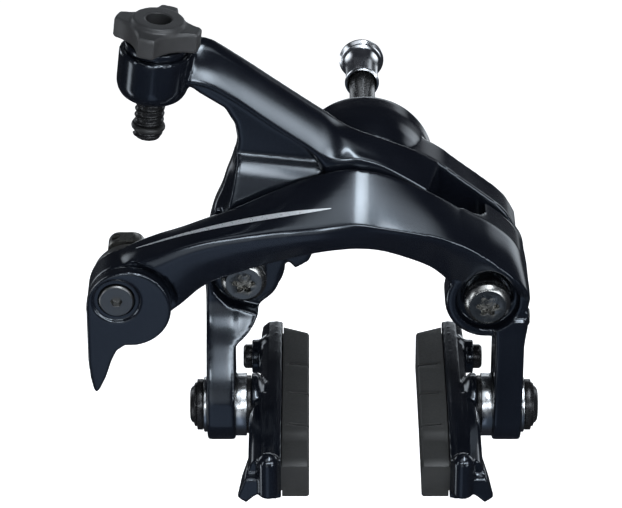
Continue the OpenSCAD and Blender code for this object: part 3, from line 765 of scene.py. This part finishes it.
# Rings of the leg above the front arm: z, left edge behind and in front, face depth, right edge, fall.
REAR_LEG_TOP = [
    (-11, -35.8, -32.6, -26.2, -13, 0),
    (-6, -34.6, -31.2, -26.2, -8, 0),
    (-1, -33.3, -30.1, -26.1, -1, 0),
    (3, -31.6, -29.3, -25.6, -2, 0.6),
    (6.6, -30.5, -28.7, -25, -5, 1.4),
    (9, -29.6, -28.4, -24.3, -8, 1.9),
    (10.6, -29.1, -28.2, -23.6, -9, 2),
    (11.8, -28.8, -28.1, -22.7, -9, 2),
]
REAR_WEB = [
    (-44, 30), (-38.5, 28.2), (-36.2, 26.4), (-30.8, 22.8), (-28.6, 18.8), (-28.1, 15), (-28.7, 11),
    (-30, 6), (-10, 4), (-8, 14), (-30, 29), (-44, 32),
]
# The left bar's front edge below the pivot: (y, z).
LEFT_BAR_FRONT = [
    (PIVOT_FRONT, -22), (-25, -25), (-26.4, -29), (-29.6, -34), (-33, -40), (-34.8, -45), (-35, -47.5),
]
# The foot that carries the bar: z, right edge, front.
REAR_FOOT = [
    (-18, -20.5, -24.8), (-24.2, -20.6, -24.9), (-26.9, -23.3, -25.4), (-28.5, -24.1, -26),
    (-30, -24.8, -26.8), (-32, -26.4, -28), (-33.6, -28.3, -29), (-34.6, -29.3, -29.6),
]
BARREL = Vector((-46.2, -23, 30.5))
BARREL_LEAN = math.radians(6.3)
BARREL_AXIS = Vector((math.sin(BARREL_LEAN), 0, math.cos(BARREL_LEAN)))
BARREL_BOSS_R = 7.9


def rear_ring(row):
    """A slice of the beam: rounded front face, lip, and a second step under the lip."""
    x, top, face_y, face_z, lip, low, slant = row
    f = x - slant
    crown = bulged((REAR_BACK, top), (face_y, face_z), 0.35, 4)
    face = bulged((face_y, face_z), (REAR_FRONT, lip), 0.1 + 0.25 * ramp(-x, 4, 12), 6)
    step = min(1.1, 0.5 * (lip - low))
    under = [
        (REAR_FRONT, lip), (REAR_FRONT, low + step), (-25.1, low + step), (-24.9, low), (REAR_BACK, low),
    ]
    ring = []
    for y, z in crown + face + under:
        ring.append((x + (f - x) * min((REAR_BACK - y) / (REAR_BACK - face_y), 1), y, z))
    return ring


def leg_ring(row):
    """A level slice of the leg, with a slanted left corner and a right half that falls away."""
    z, left_back, left_front, face, right, fall = row
    low = z - fall
    return [
        (left_back, REAR_BACK, z), (left_back, face + 3.2, z), (left_front, face, z),
        (0.5 * (left_front + right), face, 0.5 * (z + low)), (right, face, low), (right, REAR_BACK, low),
    ]


def rear_weight(p):
    """Relaxes the bar the most and the lip of the beam the least."""
    lip = ramp(-p.y, 24.4, 25.4) * ramp(p.z, 8, 12)
    return max(0.6 - 0.4 * lip, ramp(-p.z, 22, 28))


def make_rear_arm():
    beam = skin([rear_ring(row) for row in curve(REAR_BEAM, 4)])
    boss = turned_solid(BARREL, BARREL_AXIS, [
        (-4.4, 4.6), (-4.1, 5.7), (-3.3, 6.8), (-2.2, 7.5), (-0.8, BARREL_BOSS_R), (7.1, BARREL_BOSS_R)])
    shelf = plate_y([(-44, 29.4), (-38, 29.4), (-38, 37), (-44, 37)], -25.4, REAR_BACK)
    leg = plate_y(REAR_LEG, PIVOT_FRONT, REAR_BACK)
    leg_top = skin([leg_ring(row) for row in curve(REAR_LEG_TOP, 3)])
    web = plate_y(REAR_WEB, -22.6, REAR_BACK)
    eye = rod_y(-PIVOT_X, PIVOT_Z, 8.2, PIVOT_FRONT, REAR_BACK)
    left = -BAR_OUT
    foot = skin([[(left, REAR_BACK, z), (left, front, z), (right, front, z), (right, REAR_BACK, z)]
                 for z, right, front in curve(REAR_FOOT, 3)])
    pocket_edge = arc((-PIVOT_X, PIVOT_Z), POCKET_R, 180, 262, 16)
    pocket = plate_y(pocket_edge + [(-23, -27.6), (-12, -31), (-12, -11), (-34.1, -11)], AHEAD, -21.9)
    obj = forged(
        "rear_arm_forging",
        [beam, leg, leg_top, web, eye, boss, shelf, foot, bar(-1, -24, curve(LEFT_BAR_FRONT, 6))],
        [pocket, shoe_slot(-1), turned_solid(BARREL, BARREL_AXIS, [(7, 7.3), (15, 7.3)])],
        [
            rod_y(-PIVOT_X, PIVOT_Z, BUSH_BORE, AHEAD, BEHIND),
            turned_solid(BARREL, BARREL_AXIS, [(-8, 3.35), (15, 3.35)], 48),
            rod_y(0, ROLLER_Z, 1.52, -28, REAR_FRONT + 5, 32),
        ] + washer_seats(-1),
        VOXEL, 15, rear_weight)
    place(obj, "rear_arm", ["rear_arm"], GLOSS)


# ---- Bracket ----

BRACKET_TOP = [
    (-34.5, -12.5), (-31.5, -6), (-26, -1.2), (-19, 3.4), (-13, 7), (-8, 9.4), (-3.5, 11.4), (0, 12),
    (4, 11.6), (8, 10.4), (12.5, 8.8), (16.8, 6.4), (20.5, 3.4), (26.4, -1.2), (31.2, -5.4), (34, -10.2),
]
# The domed boss between the plate and the seat: (y, radius).
DOME = [
    (PLATE_FRONT, 13.3), (-16, 13.9), (-13.4, 14.7), (-10.5, 15.2), (-7, 15.5), (-2.6, 15.5),
    (-1.5, 15.1),
]
BRACKET_ARCH = [
    (30, -26), (20, -21.5), (12, -15.5), (5, -13), (-5, -13), (-11, -15), (-12.5, -18.5), (-15.5, -20.4),
    (-17, -18.6), (-21, -21.5), (-30, -26),
]


def bracket_weight(p):
    """Keeps the front edges of the plate crisp and relaxes the dome."""
    return 0.25 + 0.75 * ramp(p.y, -17.4, -15.5)


def make_bracket():
    plate = plate_y(curve(BRACKET_TOP, 4) + BRACKET_ARCH, PLATE_FRONT, PLATE_BACK)
    boss = turned_solid((0, 0, 0), (0, 1, 0), DOME, 96)
    ears = [rod_y(side * PIVOT_X, PIVOT_Z, 9.2, PLATE_FRONT, PLATE_BACK) for side in SIDES]
    pivot_bores = [rod_y(side * PIVOT_X, PIVOT_Z, 3, -20, PLATE_BACK + 1, 48) for side in SIDES]
    bolt_bore = rod_y(0, 0, 3, -20, 1, 48)
    head_bore = rod_y(0, 0, 5.2, -20, PLATE_FRONT + 4.5, 48)
    obj = forged(
        "bracket_forging", [plate, boss] + ears, [], [bolt_bore, head_bore] + pivot_bores,
        VOXEL, 14, bracket_weight)
    place(obj, "mounting", ["bracket"], GLOSS)


# ---- Quick-release lever ----

LEVER_HANDLE = [
    (-61.4, -19), (-61.4, -32), (-61, -36.4), (-60.4, -39.4), (-59.8, -40.3), (-59, -39.4),
    (-57.6, -36.4), (-56.2, -32), (-55, -29.4), (-53, -27.9), (-50, -27.6), (-50, -19),
]
LEVER_T, DISC_X, DISC_Z, DISC_R = 3.1, -54.7, -16.5, 3.85


def make_lever():
    front = CAM_FRONT - LEVER_T
    head = rod_y(CAM_X, CAM_Z, 9.35, front, CAM_FRONT, 96)
    handle = plate_y(LEVER_HANDLE, front, CAM_FRONT)
    seat = rod_y(DISC_X, DISC_Z, 5.3, front - 2, front + 0.45)
    obj = forged(
        "qr_lever_plate", [head, handle], [seat],
        [
            rod_y(DISC_X, DISC_Z, DISC_R + 0.35, front - 2, CAM_FRONT - 0.6),
            rod_y(DISC_X, DISC_Z, 1.6, front - 2, CAM_FRONT + 2, 32),
        ],
        0.24, 5)
    place(obj, "qr_lever", ["qr_lever"], GLOSS)


# ---- Shoes, drawn for the right side ----

RIM_R, PAD_LEN, PAD_FACE, SHOE_X = 311, 55, 12.4, 25.5
PAD_FRONT, PAD_BACK = PAD_LEN / 2 + 1, PAD_LEN / 2 + 0.2
SCREW_Y, SCREW_Z = PAD_Y + 21.7, BOLT_Z - 0.6


def rim_ring(section, along):
    """A section of (x, height above the rim line), set square to the rim at a distance about the bolt."""
    q = along / RIM_R
    ring = []
    for x, h in section:
        ring.append((x, PAD_Y + (RIM_R + h) * math.sin(q), BOLT_Z - RIM_R + (RIM_R + h) * math.cos(q)))
    return ring


def along_rim(section, front, back, steps=24):
    """Sweeps a section along the rim between two places about the bolt."""
    return skin([rim_ring(section, back - (front + back) * k / steps) for k in range(steps + 1)])


# Sections of the holder, in (x, height): its body, the wider rib at the front, and the channel for the pad.
HOLDER = [
    (18.6, 5.2), (20, 5.5), (21.8, 5.3), (23.2, 4.1), (23.6, 2), (23.6, -2), (23.2, -4.1), (21.8, -5.3),
    (20, -5.5), (18.6, -5.2),
]
HOLDER_RIB = [
    (20, 5), (23, 5.2), (25, 4.3), (25.9, 2.4), (25.9, -2.4), (25, -4.3), (23, -5.2), (20, -5),
]
CHANNEL = [(17, 3.4), (19.6, 3.4), (20, 4), (22, 4), (22, -4), (20, -4), (19.6, -3.4), (17, -3.4)]
# Slices of the fin under the front end: distance from the bolt, then its outline in (x, z).
FIN = [
    (-30.2, [(22.5, -51), (23.8, -55), (26.4, -57.3), (28.4, -55.7), (26.6, -51)]),
    (-25, [(22.5, -50), (24, -53.4), (26, -54.9), (27.4, -53.6), (26, -49)]),
    (-20.5, [(22.5, -49), (24, -51.2), (24.8, -51.6), (25.4, -51), (25, -48)]),
]
NOSE_Y, NOSE_Z, NOSE_R = PAD_Y - PAD_FRONT - 0.8, BOLT_Z - 5, 2.4


def make_holder(side):
    """The forged holder with its rib, rounded nose, fin, and bosses for the shoe bolt and the pad screw."""
    dome = []
    for k in range(7):
        q = math.radians(15 * k)
        dome.append((8.4 + NOSE_R * math.sin(q), max(NOSE_R * math.cos(q), 0.05)))
    nose = turned_solid((21.4, NOSE_Y, NOSE_Z), (0, 0, 1), [(0, NOSE_R - 0.6), (0.6, NOSE_R)] + dome, 48)
    fin = skin([[(x, PAD_Y + y, z) for x, z in outline] for y, outline in FIN])
    bolt_boss = turned_solid((0, PAD_Y, BOLT_Z), (1, 0, 0), [
        (21, 5.2), (22.6, 5.4), (23.4, 6.6), (24, 7.1), (24.8, 7.2), (SHOE_X, 7.1)])
    screw_boss = turned_solid((0, SCREW_Y, SCREW_Z), (1, 0, 0), [
        (21, 5), (22.5, 5), (23.3, 4.3), (24.2, 3.9), (SHOE_X + 0.2, 3.9)], 48)
    body = along_rim(HOLDER, PAD_FRONT + 0.4, PAD_BACK + 2)
    rib = along_rim(HOLDER_RIB, PAD_FRONT - 0.4, -3)
    cuts = [
        along_rim(CHANNEL, PAD_FRONT + 0.05, PAD_BACK + 4),
        rod_x(PAD_Y, BOLT_Z, 2.95, 22.8, 30, 48),
        rod_x(SCREW_Y, SCREW_Z, 1.85, 21, 30, 32),
    ]
    word = SIDES[side]
    obj = forged(
        word + "_shoe_holder",
        [on_side(side, shell) for shell in (body, rib, nose, fin, bolt_boss, screw_boss)], [],
        [on_side(side, shell) for shell in cuts], 0.27, 10)
    place(obj, word + "_shoe", [word + "_pad_holder"], GLOSS)


def pad_section(along):
    """The pad's section at a distance about the bolt; its front end slopes down."""
    slope = 1.3 * ramp(-along, PAD_FRONT - 11.5, PAD_FRONT - 8.5)
    drop = slope + 0.9 * ramp(-along, PAD_FRONT - 1.6, PAD_FRONT)
    top = 5 - 0.7 * drop
    return [
        (PAD_FACE, top - 0.5), (PAD_FACE + 0.4, top), (18.4, top), (18.4, 3.3), (19.7, 3.3), (20.1, 3.9),
        (21.9, 3.9), (21.9, -3.9), (20.1, -3.9), (19.7, -3.3), (18.4, -3.3), (18.4, -5),
        (PAD_FACE + 0.4, -5), (PAD_FACE, -4.5),
    ]


def pad_cut(outline):
    """A cut through the whole height of the pad; the outline is in (x, y)."""
    return skin([[(x, y, z) for x, y in outline] for z in (BOLT_Z - 9, BOLT_Z + 9)])


def make_pad(side):
    """A rubber pad with a dovetail foot, three slanted wear grooves and a sloping front end."""
    steps = 44
    rings = []
    for k in range(steps + 1):
        along = PAD_BACK - (PAD_FRONT + PAD_BACK) * k / steps
        rings.append(rim_ring(pad_section(along), along))
    cuts = []
    lean = math.radians(10)
    for y in (-16.5, -4, 8.5):
        outline = []
        for a, b in ((-1, 0), (4.8, 0), (4.8, 0.7), (-1, 1)):
            outline.append((PAD_FACE + a * math.cos(lean) - b * math.sin(lean),
                            PAD_Y + y + a * math.sin(lean) + b * math.cos(lean)))
        cuts.append(pad_cut(outline))
    end = PAD_Y + PAD_BACK
    slant = [(PAD_FACE - 2, end - 4.5), (20, end + 0.6), (20, end + 6), (PAD_FACE - 2, end + 6)]
    cuts.append(pad_cut(slant))
    cuts.append(rod_x(SCREW_Y, SCREW_Z, 1.9, 20.5, 30, 32))
    word = SIDES[side]
    obj = mesh_object(word + "_pad_rubber", [on_side(side, skin(rings))])
    cut(obj, [on_side(side, shell) for shell in cuts])
    soften(obj, 0.25)
    place(obj, word + "_shoe", [word + "_brake_pad"], PAD)


# ---- Turned parts ----


def make_nut():
    """The recessed nut: ringed flange at the rear, waist, and a lipped mouth round the bolt."""
    profile = [
        (34.6, 3.25), (34.15, 3.35), (34, 3.6), (34.15, 3.95), (34.6, 4.05), (35, 3.9), (35.2, 3.75),
        (40, 3.8), (44.4, 4.1), (44.7, 4.3), (45.1, 4.75), (45.5, 4.85), (45.8, 4.7), (46, 4.95),
        (46.3, 5.3), (46.8, 5.3), (47.1, 5.05), (47.2, 4.6), (46.9, 4.3),
    ]
    obj = mesh_object("sleeve_nut_turned", [turned_solid((0, 0, 0), (0, 1, 0), profile, 96)])
    hexagon = arc((0, 0), 2.9, 0, 300, 5)
    cut(obj, [rod_y(0, 0, 3.25, 30, 41.5, 64), plate_y(hexagon, 41.4, 50)])
    place(obj, "mounting", ["sleeve_nut"], NUT_CHROME, 30)


def make_pivot_bolt(side, face):
    """A shouldered pivot bolt with a chamfered head and a six-lobed socket; face is the head's depth."""
    word = SIDES[side]
    x = side * PIVOT_X
    head = [(0, 3.7), (0, 4.0), (0.12, 4.2), (0.9, 5.0), (1.1, 5.1), (2.2, 5.1), (2.3, 4.98), (2.5, 4.98),
            (2.6, 5.1), (4, 5.1), (4.01, 3)]
    profile = [(face + along, radius) for along, radius in head] + [(PLATE_BACK + 4.5, 3)]
    obj = mesh_object(word + "_pivot_bolt_turned", [turned_solid((x, 0, PIVOT_Z), (0, 1, 0), profile, 96)])
    star = []
    for k in range(72):
        q = math.radians(5 * k)
        r = 2.15 + 0.42 * math.cos(6 * q)
        star.append((x + r * math.cos(q), PIVOT_Z + r * math.sin(q)))
    cut(obj, [plate_y(star, face - 2, face + 2.2), rod_y(x, PIVOT_Z, 1.2, face + 2, face + 2.6, 32)])
    soften(obj, 0.08)
    place(obj, "mounting", [word + "_pivot_bolt"], PIVOT_METAL[side], 30)


HEAD_X = BAR_OUT + 2.3


def make_shoe_bolt(side):
    """The bolt through bar and shoe, with a chamfered head and a hexagon socket."""
    word = SIDES[side]
    head = [
        (-0.02, 2.9), (0, 4.9), (0.25, 5.05), (0.6, 4.9), (0.75, 4.3), (1.2, 4.0), (1.5, 3.5), (1.6, 3.1),
    ]
    profile = [(SHOE_X - 2.4, 2.9)] + [(HEAD_X + along, radius) for along, radius in head]
    shell = turned_solid((0, PAD_Y, BOLT_Z), (1, 0, 0), profile)
    socket = plate_x(arc((PAD_Y, BOLT_Z), 2.3, 0, 300, 5), HEAD_X - 0.6, HEAD_X + 3)
    obj = mesh_object(word + "_shoe_bolt_turned", [on_side(side, shell)])
    cut(obj, [on_side(side, socket)])
    soften(obj, 0.06)
    place(obj, word + "_shoe_toe", [word + "_shoe_bolt"], OXIDE, 30)


TOE_X, CUP_R, OUTER_DOME_R = 14, 14.4, 23.1
# Rings about the shoe bolt: radius of the ball face, inner and outer radius, flat face, body.
BALL_RINGS = {
    "bar_washer": (OUTER_DOME_R, 4, 6.3, BAR_OUT, "shoe_height"),
    "bar_cup": (CUP_R, 4, 7.15, BAR_IN, "shoe_height"),
    "head_cup": (OUTER_DOME_R + 0.1, 2.9, 5.8, HEAD_X, "shoe_toe"),
    "shoe_dome": (CUP_R - 0.1, 2.9, 6.6, SHOE_X + 0.1, "shoe_toe"),
}


def make_ball_rings(side, bright):
    """The ball washers under the head of the shoe bolt and against the shoe, as lathe-turned rings."""
    word = SIDES[side]
    sides = 96
    for part, (ball, inner, outer, flat, body) in BALL_RINGS.items():
        profile = [(flat, outer), (flat, inner)]
        for k in range(9):
            q = inner + (outer - inner) * k / 8
            profile.append((TOE_X + math.sqrt(ball ** 2 - q ** 2), q))
        rings = []
        for k in range(sides):
            q = 2 * math.pi * k / sides
            ring = [(side * x, PAD_Y + r * math.cos(q), BOLT_Z + r * math.sin(q)) for x, r in profile]
            rings.append(ring)
        obj = mesh_object(f"{word}_{part}_turned", [skin(rings, True)])
        soften(obj, 0.12)
        shiny = body == "shoe_height"
        place(obj, f"{word}_{body}", [f"{word}_{part}"],
              bright if shiny else OXIDE, 30)


# ---- Barrel adjuster ----

PITCH, KNOB_LOW, KNOB_HIGH, COLLAR_TOP, RING_Z = 1.5, 8.8, 13.5, 14.5, -11.5
BARREL_SIDE = BARREL_AXIS.cross(Vector((0, 1, 0))).normalized()
BARREL_UP = BARREL_AXIS.cross(BARREL_SIDE)


def on_barrel(radius, angle, height):
    """A point about the barrel's axis; the angle is in degrees from its side."""
    q = math.radians(angle)
    return BARREL + BARREL_AXIS * height + (BARREL_SIDE * math.cos(q) + BARREL_UP * math.sin(q)) * radius


def make_knob():
    """Four chamfered lobes between shallow hollows, with a raised collar round the housing socket."""
    lobe, hollow, depth, turn = 9.5, 10, 3.1, 14
    outline = []
    for k in range(360):
        angle = math.radians(k)
        nearest = math.radians(45 + 90 * math.floor(k / 90))
        centre = lobe - depth + hollow
        off = angle - nearest
        reach = centre * math.cos(off) - math.sqrt(max(hollow ** 2 - (centre * math.sin(off)) ** 2, 0))
        outline.append((k, min(lobe, reach)))
    rings = []
    for height, inset in ((KNOB_LOW, 0.5), (KNOB_LOW + 0.5, 0), (KNOB_HIGH - 0.5, 0), (KNOB_HIGH, 0.5)):
        rings.append([on_barrel(r - inset, 180 - k - turn, height) for k, r in outline])
    collar = turned_solid(BARREL, BARREL_AXIS, [
        (KNOB_HIGH - 1, 6.3), (KNOB_HIGH, 6.2), (KNOB_HIGH + 0.25, 5.8), (COLLAR_TOP - 0.3, 5.7),
        (COLLAR_TOP, 5.4)])
    hub = turned_solid(BARREL, BARREL_AXIS, [(7.3, 5), (10.3, 5)], 64)
    obj = forged(
        "adjuster_knob_moulded", [skin(rings), collar, hub], [],
        [
            turned_solid(BARREL, BARREL_AXIS, [(9, 2.8), (20, 2.8)], 64),
            turned_solid(BARREL, BARREL_AXIS, [(5, 3.3), (10, 3.3)], 64),
            turned_solid(BARREL, BARREL_AXIS, [(COLLAR_TOP - 0.5, 2.3), (COLLAR_TOP + 0.2, 3.5)], 64),
        ],
        0.22, 3)
    place(obj, "adjuster", ["adjuster_knob"], GRAPHITE)


def make_barrel():
    """The hollow adjuster screw with its helical thread."""
    tip, floor = -14.1, 9
    core = turned_solid(BARREL, BARREL_AXIS, [(tip, 2.6), (tip + 0.3, 2.85), (floor, 2.85)], 48)
    head = turned_solid(BARREL, BARREL_AXIS, [(5.5, 3.3), (floor, 3.3)], 48)
    rings = []
    per_turn = 36
    turns = (5 - tip - 0.6) / PITCH
    for k in range(int(turns * per_turn) + 1):
        angle = 360 * k / per_turn
        height = tip + 0.6 + PITCH * k / per_turn
        rings.append([on_barrel(2.5, angle, height - 0.6), on_barrel(3.3, angle, height - 0.14),
                      on_barrel(3.3, angle, height + 0.14), on_barrel(2.5, angle, height + 0.6)])
    ring_groove = sweep([on_barrel(3, 10 * k, RING_Z) for k in range(36)], 0.78, 12, True)
    obj = forged("adjuster_barrel_threaded", [core, head, skin(rings)], [],
                 [turned_solid(BARREL, BARREL_AXIS, [(-20, 1.1), (20, 1.1)], 32), ring_groove], 0.16, 2)
    place(obj, "adjuster", ["adjuster_barrel"], OXIDE)
    seal = sweep([on_barrel(3, 6 * k, RING_Z) for k in range(60)], 0.74, 16, True)
    ring = mesh_object("adjuster_seal", [seal])
    place(ring, "adjuster", ["adjuster_o_ring"], SEAL)


# ---- Springs ----


def make_spring(side, leg_y):
    """A torsion spring round the rear of a pivot with a leg down to its pad bar."""
    turns, per_turn, coil_r, wire_r, rise = 2, 40, 4.9, 0.75, 1.7
    start = PLATE_BACK + 1.1
    leg = [(5.4, leg_y, -13.6), (5.4, -14, -12.8), (5.4, start - 1.6, -10.6), (5.4, start, -9.2),
           (5.1, start, -3), (4.9, start, 0)]
    path = curve(leg, 6)
    for k in range(1, per_turn * turns + 1):
        q = 2 * math.pi * k / per_turn
        path.append((coil_r * math.cos(q), start + rise * k / per_turn, coil_r * math.sin(q)))
    word = SIDES[side]
    placed = [(side * (PIVOT_X + x), y, PIVOT_Z + z) for x, y, z in path]
    obj = mesh_object(word + "_spring_coil", [sweep(placed, wire_r, 12)])
    place(obj, RETURN_SPRING_BODY[side], [word + "_return_spring"], SPRING)


# The colours, roughness, lines a millimetre and depth of bright steel.
BRIGHT = ((0.56, 0.57, 0.58), (0.63, 0.64, 0.65), 0.24, 9, 0)
SHOE_BRIGHT = turned("shoe_bright", (0, PAD_Y, BOLT_Z), (1, 0, 0), *BRIGHT)
NUT_CHROME = turned(
    "nut_chrome", (0, 0, 0), (0, 1, 0), (0.66, 0.67, 0.69), (0.76, 0.77, 0.79), 0.19, 6, 0.002)
# The pivot bolts' end faces are painted darker than their sides: painted shade.
PIVOT_METAL = {}
RETURN_SPRING_BODY = {-1: "rear_arm", 1: "front_arm"}
for side, word in SIDES.items():
    PIVOT_METAL[side] = turned(
        "pivot_turned_" + word, (side * PIVOT_X, 0, PIVOT_Z), (0, 1, 0),
        (0.34, 0.335, 0.32), (0.48, 0.475, 0.46), 0.25, ends=(0.24, 0.235, 0.22))

make_front_arm()
make_rear_arm()
make_bracket()
make_lever()
make_knob()
make_barrel()
make_nut()
for side in SIDES:
    make_holder(side)
    make_pad(side)
    make_shoe_bolt(side)
    make_ball_rings(side, SHOE_BRIGHT)
make_pivot_bolt(-1, PIVOT_FRONT - 1.2)
make_pivot_bolt(1, BOSS_FRONT - 2)
make_spring(-1, REAR_BACK + 0.2)
make_spring(1, PAD_Y + BAR_R + 0.2)

# ---- CAD pieces kept as they are, with their own finishes ----


def finish_node(name, mat, rounding=0.0):
    """Gives a CAD piece its material and, if wanted, rounded edges of that size in millimetres."""
    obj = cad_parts[name]
    obj.data.materials.clear()
    obj.data.materials.append(mat)
    if rounding:
        weld = obj.modifiers.new("weld", "WELD")
        weld.merge_threshold = 0.005 * MM
        bevel(obj, rounding * MM)


for side, word in SIDES.items():
    bright = turned(word + "_pivot_bright", (side * PIVOT_X, 0, PIVOT_Z), (0, 1, 0), *BRIGHT)
    finish_node(word + "_pivot_bush", bright)
    finish_node(word + "_thrust_washer", bright)
    finish_node(word + "_spring_cap", OXIDE, 0.15)
    finish_node(word + "_pad_screw", OXIDE, 0.12)

DISC = turned("disc_turned", (DISC_X, 0, DISC_Z), (0, 1, 0), (0.14, 0.14, 0.138), (0.25, 0.25, 0.245), 0.32)
GUIDE_STEEL = satin("guide_steel", (0.10, 0.098, 0.09), (0.17, 0.165, 0.15), 0.3, 0.9)
finish_node("centre_bolt", OXIDE, 0.12)
finish_node("seat_washer", OXIDE, 0.2)
finish_node("link_pin", SPRING)
finish_node("link_roller", SPRING)
finish_node("centering_screw", OXIDE)
finish_node("qr_cam", GRAPHITE, 0.1)
finish_node("qr_screw", DISC, 0.12)
finish_node("anchor_bolt", OXIDE, 0.15)
finish_node("clamp_plate", GUIDE_STEEL, 0.25)
finish_node("detent_ring", GLOSS, 0.15)
